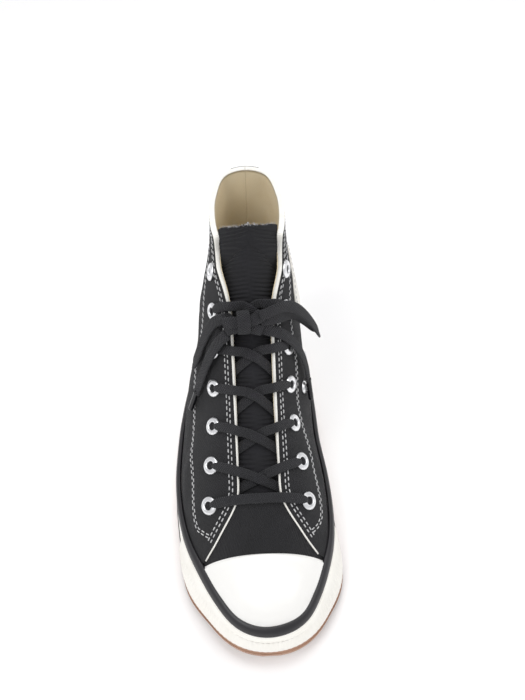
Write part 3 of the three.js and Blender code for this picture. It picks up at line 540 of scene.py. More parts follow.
# %% The quarter's edge
throat_half_gap, throat_top_half_gap = 12.0, 18.0
throat_base = 64.0
cap_length = 35.5
corner_section = 11.1
vamp_along = np.array([36.1, 40.5, 47.5, 54.0, 61.0])
vamp_half = np.array([35.0, 28.5, 23.5, 18.0, 13.0])
ridge_sections = np.linspace(0, 9, 901)
ridge_y = last_point(MEDIAL, ridge_sections, 1)[:, 1]
throat_section = float(np.interp(throat_base, ridge_y, ridge_sections))


def smoothstep(value, low, high):
    share = np.clip((value - low) / (high - low), 0, 1)
    return share * share * (3 - 2 * share)


def throat_half(section):
    share = (section - throat_section) / (collar_section - throat_section)
    return throat_half_gap + (throat_top_half_gap - throat_half_gap) * smoothstep(share, 0.62, 1)


def edge_level(side, sections):
    """How far up each rib the quarter reaches."""
    levels = np.linspace(0, 1, 801)
    points = last_point(side, sections[:, None], levels[None, :])
    half = np.where(sections < throat_section, np.nan, throat_half(sections))[:, None]
    in_front = np.interp(points[..., 1], vamp_along, vamp_half)
    half = np.where(np.isnan(half), in_front, half)
    beyond = np.abs(points[..., 0]) >= half
    beyond |= (sections > corner_section)[:, None]
    return evened(levels[len(levels) - 1 - np.argmax(beyond[:, ::-1], axis=1)], 6)


quarter_front = 3.07
quarter_sections = np.concatenate([np.linspace(quarter_front, 4.6, 26), np.linspace(4.68, 8.9, 54),
                                   np.linspace(8.97, 12.0, 52), np.linspace(12.06, 15.0, 46)])
quarter_top = {side: edge_level(side, quarter_sections) for side in (LATERAL, MEDIAL)}
print("throat begins at section", round(throat_section, 2))

# %% [markdown]
# Worn canvas folds softly where the foot bends and where the ankle pulls. Each crease is given as a line
# on the upper, in the last's millimetres, with a width and a height: a trough is below zero.

# %% Creases
# side, from (y, z), to (y, z), half width, height
creases = [
    (MEDIAL, (70, 34), (92, 52), 5.0, -1.0), (MEDIAL, (80, 33), (99, 50), 4.0, 0.8),
    (MEDIAL, (92, 34), (112, 55), 6.0, -0.9), (LATERAL, (66, 36), (88, 50), 5.0, -1.0),
    (LATERAL, (78, 34), (100, 52), 5.0, 0.8), (LATERAL, (96, 36), (116, 58), 6.0, -0.9),
    (MEDIAL, (160, 70), (196, 84), 7.0, -1.1), (MEDIAL, (158, 84), (200, 95), 6.0, 0.7),
    (LATERAL, (160, 72), (200, 84), 7.0, -1.1), (LATERAL, (162, 88), (204, 97), 6.0, 0.7),
    (MEDIAL, (206, 52), (236, 66), 6.0, -0.7), (LATERAL, (204, 52), (236, 64), 6.0, -0.7),
    (LATERAL, (150, 118), (176, 134), 7.0, -0.7), (MEDIAL, (176, 128), (214, 138), 8.0, -0.6),
]


def crease_rise(points, side):
    rise = np.zeros(points.shape[:-1])
    for own, start, end, half_width, height in creases:
        start, end = np.array(start, float), np.array(end, float)
        run = end - start
        offset = points[..., 1:] - start
        share = np.clip((offset @ run) / (run @ run), 0, 1)
        away = np.linalg.norm(offset - share[..., None] * run, axis=-1)
        fade = np.sin(np.pi * np.clip(share, 0.04, 0.96)) ** 0.6
        own_side = (np.sign(points[..., 0]) if side is None else side) == own
        rise += np.where(own_side, height * fade * np.exp(-(away / half_width)**2), 0)
    return rise


def creased(side, section, level, out):
    point = last_point(side, section, level)
    return point + last_normal(side, section, level) * (out + crease_rise(point, side))[..., None]


# %% [markdown]
# The two quarters are cut from canvas 1.2 mm thick over the cream lining. Each is one closed sheet, with
# its edges drawn in a little so they look turned rather than cut with a knife.

# %% Quarters and lining
wall = 2.0
quarter_step = 1.2
quarter_low = 0.04
level_shares = np.concatenate([[0, 0.01], np.linspace(0.03, 0.97, 44), [0.988, 1.0]])


for side, label in ((LATERAL, "lateral"), (MEDIAL, "medial")):
    section = np.repeat(quarter_sections[:, None], len(level_shares), 1)
    level = quarter_low + (quarter_top[side][:, None] - quarter_low) * level_shares[None, :]

    def layer(out):
        return creased(side, section, level, np.broadcast_to(out, level.shape))

    turned_in = 1 - 0.4 * smoothstep(level_shares, 0.97, 1.0)
    outer = layer(quarter_step * turned_in)
    uv = millimetre_uv(outer)
    make_sheet("quarter_" + label, outer, layer(-0.6), cotton_duck, ["upper"], uv)
    make_sheet("lining_" + label, layer(-0.65), layer(-wall), cream_twill, uv=uv)
print("quarters and lining:", len(quarter_sections), "by", len(level_shares), "points a side")

# %% [markdown]
# The vamp is the piece of canvas over the toes. It passes under both quarters and under the toe cap. One
# grid from side to side over the ridge is enough, and its creases are softer than the quarters' own.

# %% Vamp
vamp_sections = np.linspace(1.2, throat_section + 0.02, 44)
section_grid, across = np.meshgrid(vamp_sections, np.linspace(-0.94, 0.94, 81), indexing="ij")
side_grid = np.sign(across + 1e-9)
level_grid = 1 - np.abs(across)
base = last_point(side_grid, section_grid, level_grid)
normal = last_normal(side_grid, section_grid, level_grid)
vamp_crease_share = 0.4
outer = base + normal * (crease_rise(base, None) * vamp_crease_share)[..., None]
make_sheet("vamp_canvas", outer, base - normal * wall, cotton_duck, ["upper"])
print("vamp:", across.size, "points")

# %% [markdown]
# A white cotton tape is folded over the quarter's edge and sewn down. It runs as one strip up the throat,
# round the corner and along the collar, and the seam from the throat to the toe cap shows it too. It is
# drawn as one bent tube a side, because its edge is round where it folds.

# %% Edge tape
def walk(side, sections, levels, moves):
    """Sections and levels of the places that lie the given moves away, in millimetres."""
    sections, levels = sections.copy(), levels.copy()
    target = last_point(side, sections, levels) + moves
    for _ in range(4):
        along, rise = last_slopes(side, sections, levels)
        miss = target - last_point(side, sections, levels)
        aa, bb, ab = (along**2).sum(-1), (rise**2).sum(-1), (along * rise).sum(-1)
        am, bm = (along * miss).sum(-1), (rise * miss).sum(-1)
        det = np.maximum(aa * bb - ab**2, 1e-6)
        sections += np.clip((am * bb - bm * ab) / det, -0.5, 0.5)
        levels = np.clip(levels + np.clip((bm * aa - am * ab) / det, -0.2, 0.2), 0.0, 1.0)
    return sections, levels


def step_from_edge(side, sections, levels, inward):
    path = last_point(side, sections, levels)
    along = unit(np.gradient(path, axis=0))
    normal = last_normal(side, sections, levels)
    down = np.cross(normal, along) * -side
    return walk(side, sections, levels, down * inward)


tape_parts = []
for side in (LATERAL, MEDIAL):
    sections = np.concatenate([np.linspace(quarter_front, 8.9, 110), np.linspace(8.93, 12, 110),
                               np.linspace(12.03, 15.0, 60)])
    levels = np.interp(sections, quarter_sections, quarter_top[side])
    path = creased(side, sections, levels, np.interp(sections, [9.5, 11.1], [-0.1, -0.35]))
    half_out = np.interp(sections, [3.07, 3.9, 4.1, 9.5, 11.1, 15], [0.5, 0.55, 1.2, 1.25, 1.7, 1.7])
    middle = np.interp(sections, [3.07, 3.9, 4.1], [0.9, 0.75, 0.0])
    normals = last_normal(side, sections, levels)
    path = path + normals * middle[:, None]
    tape_parts.append(tube(path, normals, np.interp(sections, [3.07, 4, 9, 15], [0.45, 0.5, 0.55, 0.75]),
                           half_out, sides=12, squareness=0.7))
make_joined("edge_tape", tape_parts, cotton_tape)
print("edge tape:", len(sections), "places a side")

# %% [markdown]
# The sole's rubber strips are wound round the lasted upper. They share one outline: the feather line,
# where the upper turns under, moved out by the sole's overhang, and leaning in to meet the upper at the
# sidewall's top edge. Every strip is a profile drawn round that outline, and each corner is rounded.

# %% Sole outline
outsole_thickness = 6.0
sidewall_height = 31.0
sidewall_thickness = 2.8
liner = 1.8
toe_overhang, ball_overhang, heel_overhang = 9.4, 6.2, 3.6
top_edge_along = np.array([0, .14, .3, .5, .8, 1])
top_edge_share = np.array([1, 1.03, .95, .9, .93, .99])


def top_edge_height(y):
    along = np.clip(y / last_length, 0, 1)
    k = np.clip(np.searchsorted(top_edge_along, along, side="right") - 1, 0, 4)
    t = (along - top_edge_along[k]) / (top_edge_along[k + 1] - top_edge_along[k])
    row = [top_edge_share[np.clip(k + j, 0, 5)] for j in (-1, 0, 1, 2)]
    return sidewall_height * catmull_rom(*row, t)


def overhang(y):
    along = y / last_length
    toe = np.maximum(0, 1 - along / 0.3)**1.3
    front = ball_overhang + (toe_overhang - ball_overhang) * toe
    return front + (heel_overhang - front) * smoothstep(along, 0.3, 1)


def sideways_of(along):
    along = unit(along * [1, 1, 0])
    return np.stack([along[:, 1], -along[:, 0], 0 * along[:, 0]], 1)


def offset_plan(ring, offset):
    sideways = sideways_of(np.roll(ring, -1, 0) - np.roll(ring, 1, 0))
    return ring + sideways * np.broadcast_to(offset, len(ring))[:, None]


def level_at_height(side, sections, heights, steps=22):
    low, high = np.zeros(len(sections)), np.ones(len(sections))
    for _ in range(steps):
        middle = (low + high) / 2
        points = last_point(side, sections, middle)
        below = points[:, 2] < heights(points[:, 1])
        low, high = np.where(below, middle, low), np.where(below, high, middle)
    return low


def even_round(count):
    """Sides and sections of places an even distance apart round the feather line."""
    half = 1500
    sections = np.concatenate([np.linspace(0, 15, half + 1), np.linspace(15, 0, half + 1)[1:]])
    sides = np.where(np.arange(len(sections)) <= half, MEDIAL, LATERAL)
    at = path_lengths(last_point(sides, sections, 0))
    turn = np.interp(np.linspace(0, at[-1], count, endpoint=False), at, np.arange(len(at)))
    return np.where(turn <= half, MEDIAL, LATERAL), np.interp(turn, np.arange(len(at)), sections)


def fair(ring, passes):
    """Evens out small waves in a closed line, as a shoemaker fairs a curve by eye."""
    for _ in range(passes):
        ring = (np.roll(ring, 1, 0) + 2 * ring + np.roll(ring, -1, 0)) / 4
    return ring


def sidewall_line(edge, top, level):
    """The sidewall's line at a level, on the slope between its foot and its top edge."""
    base = sole_lift(edge[:, 1])
    share = (level - outsole_thickness) / (top_edge_height(top[:, 1]) - base - outsole_thickness)
    line = edge + (top - edge) * share[:, None]
    line[:, 2] = base + level
    return line


foot_passes, top_passes = 40, 16
ring_sides, ring_sections = even_round(420)
feather = last_point(ring_sides, ring_sections, 0)
ring_edge = fair(offset_plan(feather, overhang(feather[:, 1])), foot_passes)
ring_level = level_at_height(ring_sides, ring_sections, top_edge_height)
ring_top = last_point(ring_sides, ring_sections, ring_level)
ring_top = fair(offset_plan(ring_top, liner + sidewall_thickness), top_passes)
wall_top = top_edge_height(ring_top[:, 1]) - sole_lift(ring_edge[:, 1])
ring_length = path_lengths(ring_edge)
print("sole:", round(float(np.ptp(ring_edge[:, 1])), 1), "mm long,",
      round(float(np.ptp(ring_edge[:, 0])), 1), "mm wide")


# %% [markdown]
# A strip is one profile swept round the sole's outline, as an extruded rubber strip is wound round a
# shoe. The profile's corners are rounded by a few close points, because a sharp one would catch no light.

# %% Wound strips
def wound_strip(name, profile, material, replaced):
    """Each corner of the profile is a share of the wall's height, millimetres more, and how far out."""
    points = np.stack([offset_plan(sidewall_line(ring_edge, ring_top, share * wall_top + more), out)
                       for share, more, out in profile], 1)
    count, corners = points.shape[:2]
    uv = np.stack([np.repeat(ring_length, corners), np.tile(path_lengths(points[0]), count)], 1)
    flat = points.reshape(-1, 3)
    faces = outward(flat, grid_faces(count, corners, close_rows=True, close_columns=True))
    make_piece(name, flat, faces, material, uv, replaced)
    print(name, "has", corners, "corners in its profile")


wound_strip("foxing_strip", [
    (0, 6.05, -3.2), (0, 6.05, -0.7), (0, 6.2, -0.25), (0, 6.6, -0.03), (0, 7.4, 0.0),
    (0.5, 2, 0.0), (1, -5.8, 0.0), (1, -4.9, -0.05), (1, -4.55, -0.3), (1, -4.5, -3.2)],
    rolled_rubber, ["foxing"])
wound_strip("top_stripe", [
    (1, -4.6, -3.0), (1, -4.6, 0.0), (1, -4.4, 0.25), (1, -3.9, 0.36), (1, -2.4, 0.2),
    (1, -1.3, -0.15), (1, -0.7, -0.6), (1, -0.25, -1.2), (1, -0.05, -1.9), (1, -0.4, -3.0)],
    black_rubber, ["foxing_stripe"])
wound_strip("pinstripe_line", [
    (0, 8.9, -0.6), (0, 8.9, 0.2), (0, 9.1, 0.42), (0, 9.6, 0.5), (0, 10.1, 0.42),
    (0, 10.3, 0.2), (0, 10.3, -0.6)], black_rubber, ["foxing_pinstripe"])

# %% [markdown]
# The toe has one more strip, thicker, and moulded with fine upright ribs that take the scuffs. It thins
# out to nothing where it ends on either side.

# %% Toe bumper
bumper_reach = 62.0
rib_pitch = 2.4
rib_depth = 0.32
thinning_length = 6.0
sections = np.linspace(-4.2, 4.2, 2401)
feather = last_point(MEDIAL, sections, 0)
keep = feather[:, 1] < bumper_reach
at = path_lengths(feather[keep])
stations = np.arange(0, at[-1], rib_pitch / 6)
feather = last_point(MEDIAL, np.interp(stations, at, sections[keep]), 0)
sole_edge = feather + sideways_of(np.gradient(feather, axis=0)) * overhang(feather[:, 1])[:, None]
nearest = np.argmin(np.linalg.norm(ring_edge[None] - sole_edge[:, None], axis=2), axis=1)
blend_window = np.hanning(31)[1:-1]
blend_window /= blend_window.sum()


def soften(values):
    padded = np.pad(values, ((14, 14), (0, 0)), mode="reflect", reflect_type="odd")
    return np.stack([np.convolve(padded[:, k], blend_window, "valid") for k in range(3)], 1)


bumper_edge, bumper_top = soften(ring_edge[nearest]), soften(ring_top[nearest])
sideways = sideways_of(np.gradient(bumper_edge, axis=0))
wall_here = top_edge_height(bumper_top[:, 1]) - sole_lift(bumper_edge[:, 1])
fade = smoothstep(np.minimum(stations, at[-1] - stations), 0, thinning_length)
ribs_out = rib_depth * (0.5 + 0.5 * np.cos(stations / rib_pitch * 2 * np.pi))
# share of the wall's height, millimetres more, how far out, how deep the ribs go
corners = [(0, 6.0, -0.8, 0), (0, 6.0, 0.9, 0), (0, 6.4, 1.35, .4), (0, 7.2, 1.5, 1), (0.3, 4.0, 1.5, 1),
           (0.5, 2.6, 1.45, 1), (0.5, 3.2, 1.4, 0), (1, -7.6, 1.2, 0), (1, -6.4, 1.05, 0),
           (1, -5.7, 0.8, 0), (1, -5.4, 0.3, 0), (1, -5.4, -0.8, 0)]
columns = []
for share, more, out, ribbed in corners:
    reach = (out * fade if out > 0 else out) - ribbed * ribs_out * fade
    columns.append(sidewall_line(bumper_edge, bumper_top, share * wall_here + more)
                   + sideways * reach[:, None])
points = np.stack(columns, 1)
count, around = points.shape[:2]
flat = points.reshape(-1, 3)
uv = np.stack([np.repeat(stations, around), np.tile(path_lengths(points[count // 2]), count)], 1)
make_piece("toe_strip", flat, outward(flat, capped_faces(count, around)), pebbled_rubber,
           uv, ["toe_bumper"])
print("toe strip:", round(float(at[-1])), "mm round,", count, "rows")

# %% [markdown]
# The outsole is a brown slab under it all. Its side is a wound profile like the strips, and its underside
# has waved cross bars with grooves between them. The grooves are a height given to each point of a fine
# grid, which is simpler than cutting forty bars, and the waist is left plain.

# %% Outsole
outsole_edge = [(0, 5.95, -14.0), (0, 5.95, -0.5), (0, 5.7, -0.12), (0, 5.2, 0.0), (0, 3.0, 0.0),
                (0, 2.2, -0.1), (0, 1.6, -0.4), (0, 1.2, -1.0), (0, 1.2, -14.0)]
wound_strip("outsole_side", outsole_edge, brown_rubber, ["outsole"])
tread_depth, tread_pitch, tread_groove = 1.8, 8.0, 2.0
wave_rise, wave_length = 3.0, 12.0
slab_top = 3.2
under_ring = offset_plan(sidewall_line(ring_edge, ring_top, 0 * wall_top), -0.9)
first_y, last_y = under_ring[:, 1].min() + 0.3, under_ring[:, 1].max() - 0.3
rows = np.linspace(first_y, last_y, 330)
half_ring = len(under_ring) // 2
medial_line = under_ring[:half_ring + 1]
lateral_line = np.concatenate([under_ring[half_ring:], under_ring[:1]])[::-1]
medial_x = np.interp(rows, *medial_line[np.argsort(medial_line[:, 1])][:, [1, 0]].T)
lateral_x = np.interp(rows, *lateral_line[np.argsort(lateral_line[:, 1])][:, [1, 0]].T)
shares = np.concatenate([[0, 0.03], np.linspace(0.06, 0.94, 23), [0.97, 1]])
x = lateral_x[:, None] + (medial_x - lateral_x)[:, None] * shares[None, :]
y = np.repeat(rows[:, None], len(shares), 1)
rim_room = np.minimum(x - lateral_x[:, None], medial_x[:, None] - x)
end_room = np.minimum(y - first_y, last_y - y)
inside_rim = smoothstep(np.minimum(rim_room, end_room), 3.5, 4.5)
zigzag = wave_rise * np.abs((np.abs(x) / wave_length) % 1 - 0.5)
from_groove = np.abs((y + zigzag) % tread_pitch - tread_pitch / 2)
groove = 1 - smoothstep(from_groove, tread_groove / 2, tread_groove / 2 + 0.5)
along = y / last_length
waist = smoothstep(along, .46, .48) * (1 - smoothstep(along, .62, .64))
hollow = inside_rim * np.maximum(groove, waist)
edge_round = 0.5 * (1 - smoothstep(np.minimum(rim_room, end_room), 0, 0.8))
under = np.stack([x, y, sole_lift(y) + tread_depth * hollow + edge_round], -1)
over = np.stack([x, y, sole_lift(y) + slab_top], -1)
make_sheet("outsole_tread", over, under, brown_rubber, uv=np.stack([x, y], -1))
print("tread:", x.size, "points")

# %% [markdown]
# The toe cap is rubber 1.2 mm thick, stretched over the front of the vamp. It is laid out along the last
# from one side round the toe to the other, and ends at a straight line across the shoe. Its back edge is
# drawn down, as the moulded edge of the real cap is.

# %% Toe cap
cap_levels = 46
cap_thickness = 1.2
cap_lift = 0.3
cap_flare = 1.3
cap_under_strip = 5.0
cap_top = np.linspace(0, 1, cap_levels)


def cap_level(side, section):
    """Levels from a little below the sidewall's top edge up to the ridge."""
    hide = level_at_height(side, section.ravel(), lambda y: top_edge_height(y) - cap_under_strip)
    hide = hide.reshape(section.shape)
    return hide + (1 - hide) * cap_top[None, :]


def cap_end(side):
    """The section at which each height up the ribs passes the cap's back edge."""
    sections = np.linspace(0.3, 4.5, 421)
    y = last_point(side, sections[:, None], cap_level(side, sections[:, None]))[..., 1]
    return np.array([np.interp(cap_length, y[:, j], sections) for j in range(cap_levels)])


row_shares = np.concatenate([np.linspace(0, 0.96, 46), [0.975, 0.988, 0.996, 1.0]])
halves = []
for side in (LATERAL, MEDIAL):
    section = row_shares[:, None] * cap_end(side)[None, :]
    halves.append((np.full(section.shape, side), section, cap_level(side, section)))
side_grid, section_grid, level_grid = [
    np.concatenate([halves[0][k][:0:-1], halves[1][k]]) for k in range(3)]
end_share = np.concatenate([row_shares[:0:-1], row_shares])[:, None]
draw_down = 1 - 0.75 * smoothstep(end_share, 0.975, 1.0)
base = last_point(side_grid, section_grid, level_grid)
normal = last_normal(side_grid, section_grid, level_grid)
normal[:, -1] = unit(normal[:, -1] * [0, 1, 1])
normal = evened(normal, 2, directions=True)
normal[:, -1] = unit(normal[:, -1] * [0, 1, 1])
flare = cap_flare * (1 - smoothstep(cap_top, 0.0, 0.2))[None, :] * draw_down
outer = base + normal * (cap_lift + cap_thickness * draw_down + flare)[..., None]
inner = base + normal * -0.2
half_rows = outer.shape[0] // 2
# both halves side by side, so the smoothing passes over the ridge between them
over = np.concatenate([outer[:half_rows + 1], outer[::-1][:half_rows + 1, -2::-1]], 1)
middle = outer.shape[1] - 1
for _ in range(30):
    across_ridge = (over[:, :-2] + 2 * over[:, 1:-1] + over[:, 2:]) / 4
    near = np.clip(1 - np.abs(np.arange(1, over.shape[1] - 1) - middle) / 9, 0, 1)[None, :, None]
    over[:, 1:-1] += (across_ridge - over[:, 1:-1]) * near
outer[:half_rows + 1] = over[:, :middle + 1]
outer[half_rows:] = over[::-1][:, :middle - 1:-1]
inner[:, -1, 0] = 0
rows, columns = outer.shape[:2]
points = np.concatenate([outer.reshape(-1, 3), inner.reshape(-1, 3)])
count = rows * columns
# the grid meets itself along the ridge: the rim is left open there, and the two sides are welded
faces = grid_faces(rows, columns) + [face[::-1] for face in grid_faces(rows, columns, count)]
rim = list(range(columns - 1, -1, -1)) + [i * columns for i in range(1, rows)]
rim += [(rows - 1) * columns + j for j in range(1, columns)]
for a, b in zip(rim[:-1], rim[1:]):
    faces.append([a, b, b + count, a + count])
ridge = [i * columns + columns - 1 for i in range(rows)]
twin = {}
for first, last in zip(ridge[:rows // 2], ridge[::-1]):
    for shift in (0, count):
        twin[first + shift] = last + shift
        points[last + shift] = (points[first + shift] + points[last + shift]) / 2
faces = [[twin.get(k, k) for k in face] for face in faces]
faces = [[k for n, k in enumerate(face) if k != face[n - 1]] for face in faces]
faces = [face for face in faces if len(face) > 2]
used = sorted({k for face in faces for k in face})
renumber = {k: n for n, k in enumerate(used)}
faces = [[renumber[k] for k in face] for face in faces]
points = points[used]
make_piece("cap_rubber", points, outward(points, faces), glossy_rubber,
           points[:, :2], ["toe_cap"])
print("toe cap:", len(faces), "faces")

# %% [markdown]
# The heel stay is a strip of the same canvas that covers the seam at the back. It lies in columns at even
# distances from the seam, and its edges are drawn down as if turned under.

# %% Heel stay
stay_half = 8.5
stay_thickness = 1.0
stay_lift = 0.25


def heel_section(levels, x):
    sections = np.linspace(13.2, 15, 181)
    points = last_point(MEDIAL, sections[None, :], levels[:, None])
    return np.array([np.interp(-x, -row[:, 0], sections) for row in points])


stay_levels = np.linspace(0.12, 0.999, 60)
stay_x = np.array([-1, -0.97, -0.9, -0.7, -0.45, -0.2, 0, 0.2, 0.45, 0.7, 0.9, 0.97, 1]) * stay_half
columns_out, columns_in = [], []
for x in stay_x:
    side = MEDIAL if x >= 0 else LATERAL
    section = heel_section(stay_levels, abs(x))
    thickness = stay_thickness * (0.25 if abs(x) == stay_half else 1)
    base = last_point(side, section, stay_levels)
    normal = last_normal(side, section, stay_levels)
    columns_out.append(base + normal * (quarter_step + stay_lift + thickness))
    columns_in.append(base + normal * (quarter_step - 0.3))
make_sheet("heel_stay_canvas", np.stack(columns_out, 1), np.stack(columns_in, 1), cotton_duck,
           ["heel_stay"])
print("heel stay:", 2 * stay_half, "mm wide")

# %% [markdown]
# A round vinyl patch is sewn over the inner ankle; on this shoe it is bare. It is a dish of rings round
# its middle, each laid on the quarter with its creases. A groove near its edge takes the stitches.

# %% Ankle patch
patch_radius = 26.0
patch_thickness = 0.9
patch_height = 104.0
patch_along = 0.81
patch_spokes = 96


def place_by_side_view(side, targets, section, level):
    """Sections and levels of the places whose y and z are the targets, starting from a near one."""
    section = np.full(len(targets), section, float) if np.ndim(section) == 0 else section.copy()
    level = np.full(len(targets), level, float) if np.ndim(level) == 0 else level.copy()
    for _ in range(12):
        along, rise = last_slopes(side, section, level)
        miss = targets - last_point(side, section, level)[:, 1:]
        det = along[:, 1] * rise[:, 2] - along[:, 2] * rise[:, 1]
        det = np.where(np.abs(det) < 1e-4, 1e-4, det)
        section += np.clip((miss[:, 0] * rise[:, 2] - miss[:, 1] * rise[:, 1]) / det, -0.4, 0.4)
        level += np.clip((along[:, 1] * miss[:, 1] - along[:, 2] * miss[:, 0]) / det, -0.15, 0.15)
        section, level = np.clip(section, 2, 14.9), np.clip(level, 0.02, 1)
    return section, level


patch_centre = np.array([last_length * patch_along, patch_height])
start_section, start_level = nearest_place(MEDIAL, np.array([27.0, *patch_centre]))
angles = np.linspace(0, 2 * np.pi, patch_spokes, endpoint=False)
around = np.stack([np.cos(angles), np.sin(angles)], 1)

# share of the radius, share of the thickness
patch_profile = [(0.0, 1.0), (0.2, 1.0), (0.4, 1.0), (0.6, 1.0), (0.75, 1.0), (0.85, 1.0), (0.9, 0.97),
                 (0.925, 0.82), (0.95, 0.97), (0.975, 0.95), (0.993, 0.75), (1.0, 0.3), (1.0, -0.4)]
rings = []
for share, height in patch_profile:
    targets = patch_centre + around * max(share, 0.01) * patch_radius
    section, level = place_by_side_view(MEDIAL, targets, start_section, start_level)
    out = np.full(patch_spokes, quarter_step + patch_thickness * height)
    rings.append(creased(MEDIAL, section, level, out))
points = np.concatenate(rings)
uv = np.concatenate([around * share * patch_radius for share, _ in patch_profile])
faces = outward(points, capped_faces(len(rings), patch_spokes))
make_piece("ankle_disc", points, faces, bonded_vinyl, uv, ["ankle_patch"])
print("ankle patch:", len(faces), "faces")

# %% [markdown]
# The tongue is a single canvas with faint ribs across it. It lies inside the throat, follows the ridge of
# the last and stands up above the collar, and its top edge is cut raw, so a few threads stand loose.

# %% Tongue
tongue_under = 5.2
tongue_thickness = 2.0
tongue_half = 21.5
tongue_rise = 9.5
tongue_rib_pitch = 2.6
tongue_rib_height = 0.12
height_levels = np.linspace(0, 1, 1001)


def level_at_half(side, sections, halves):
    """How far up each rib its half width from the ridge is the given one."""
    x = np.abs(last_point(side, sections[:, None], height_levels[None, :])[..., 0])
    beyond = x >= np.broadcast_to(halves, len(sections))[:, None]
    last_beyond = len(height_levels) - 1 - np.argmax(beyond[:, ::-1], axis=1)
    return np.where(beyond.any(1), height_levels[last_beyond], 0.0)


tongue_sections = np.linspace(throat_section - 0.3, 8.95, 90)
tongue_x = np.linspace(-1, 1, 41)
tongue_rows, tongue_normals = [], []
half_here = tongue_half * (0.9 + 0.1 * smoothstep(tongue_sections, 4, 7))
for share in tongue_x:
    side = MEDIAL if share >= 0 else LATERAL
    level = level_at_half(side, tongue_sections, np.maximum(np.abs(share) * half_here, 0.01))
    level = evened(level, 5)
    base = last_point(side, tongue_sections, level)
    base[:, 0] = share * half_here
    tongue_rows.append(base)
    tongue_normals.append(last_normal(side, tongue_sections, level))
base = np.stack(tongue_rows, 1)
normal = evened(np.stack(tongue_normals), 3, directions=True).swapaxes(0, 1)
last_row, last_normals = base[-1:].copy(), normal[-1:].copy()
tongue_top = last_row[0, :, 2].max() + tongue_rise
steps = np.linspace(0, 1, 22)[1:, None]
top_line = tongue_top - 4.5 * tongue_x[None, :]**2 - 2.0 * tongue_x[None, :]**8
raised = np.repeat(last_row, len(steps), 0)
raised[..., 2] += steps * (top_line - last_row[..., 2])
raised[..., 1] += 0.06 * steps * (top_line - last_row[..., 2])
base = np.concatenate([base, raised])
turn_up = (unit(last_normals * [1, 1, 0.15]) - last_normals) * smoothstep(steps, 0, 0.5)[..., None]
normal = np.concatenate([normal, unit(last_normals + turn_up)])
random.seed(7)
ragged = np.array([random.uniform(-0.5, 0.5) for _ in tongue_x])
base[-1, :, 2] += ragged
base[-2, :, 2] += ragged * 0.6
ridge = len(tongue_x) // 2
ridge_key = base[:, ridge, 1] + base[:, ridge, 2]
up_tongue = np.interp(base[..., 1] + base[..., 2], ridge_key, path_lengths(base[:, ridge]))
rib_wave = tongue_rib_height * np.sin(up_tongue * 2 * np.pi / tongue_rib_pitch)
outer = base - normal * tongue_under + normal * rib_wave[..., None]
inner = base - normal * (tongue_under + tongue_thickness)
make_sheet("tongue_canvas", outer, inner, ribbed_duck, ["tongue"],
           np.stack([up_tongue, base[..., 0]], -1))
print("tongue:", round(float(outer[-1, :, 2].max()), 1), "mm high")

# %% [markdown]
# The threads of the raw edge are short thin tubes, thrown at random along it from a fixed seed.

# %% Frayed threads
thread_girth = np.array([0.14, 0.12, 0.05])
fray = []
for _ in range(90):
    share = random.uniform(-0.97, 0.97)
    column = (share + 1) / 2 * (len(tongue_x) - 1)
    low = int(column)
    root = outer[-1, low] * (1 - column + low) + outer[-1, low + 1] * (column - low)
    root = root + (inner[-1, low] - outer[-1, low]) * random.uniform(0.05, 0.6)
    lean = np.array([random.uniform(-0.7, 0.7), random.uniform(-0.5, 0.5), 1.0])
    length = random.uniform(0.5, 1.7)
    thread = root + lean * (np.array([-0.3, 0.5, 1.0]) * length)[:, None]
    fray.append(tube(thread, np.array([[0, -1.0, 0.1]] * 3), thread_girth, thread_girth, sides=5))
make_joined("tongue_fray", fray, sewing_thread)
print("frayed threads:", len(fray))

# %% [markdown]
# Inside, the shoe has a cloth-covered insole board, a little dished by the foot. It is the sole's outline
# drawn in towards the middle line in rings, each a little lower than the last.

# %% Insole
insole_spokes = 260
insole_thickness = 3.0
board_bottom = feather_height + 0.3
rim = offset_plan(last_point(*even_round(insole_spokes), 0), -(wall + 0.9))
centre_line = rim * [0, 1, 1]
dish_depth = 0.5
shares = [1, 0, *np.linspace(0, 1, 13)]
heights = [0, 0, *(insole_thickness - dish_depth * np.sin(np.linspace(0, 1, 13) * np.pi / 2))]
rings = []
for share, height in zip(shares, heights):
    ring = rim + (centre_line - rim) * share
    ring[:, 2] = sole_lift(ring[:, 1]) + board_bottom + height
    rings.append(ring)
points = np.concatenate(rings)
faces = outward(points, grid_faces(len(rings), insole_spokes, close_columns=True))
make_piece("insole_cloth", points, faces, cream_twill, points[:, :2], ["insole"])
print("insole:", len(faces), "faces")

# %% [markdown]
# An eyelet is a short aluminium tube pressed through the cloth, and its end is rolled over into a ring.
# It is turned from one profile. Its place is the middle of its solid in the frame.

# %% Eyelets
def seat(node):
    low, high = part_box(node)
    middle = np.array((low + high) / 2) / MM - frame_shift
    side = MEDIAL if middle[0] > 0 else LATERAL
    section, level = nearest_place(side, middle)
    for _ in range(3):
        move = (middle - last_point(side, section, level))[None]
        sections, levels = walk(side, np.array([section]), np.array([level]), move)
        section, level = float(sections[0]), float(levels[0])
    return side, section, level


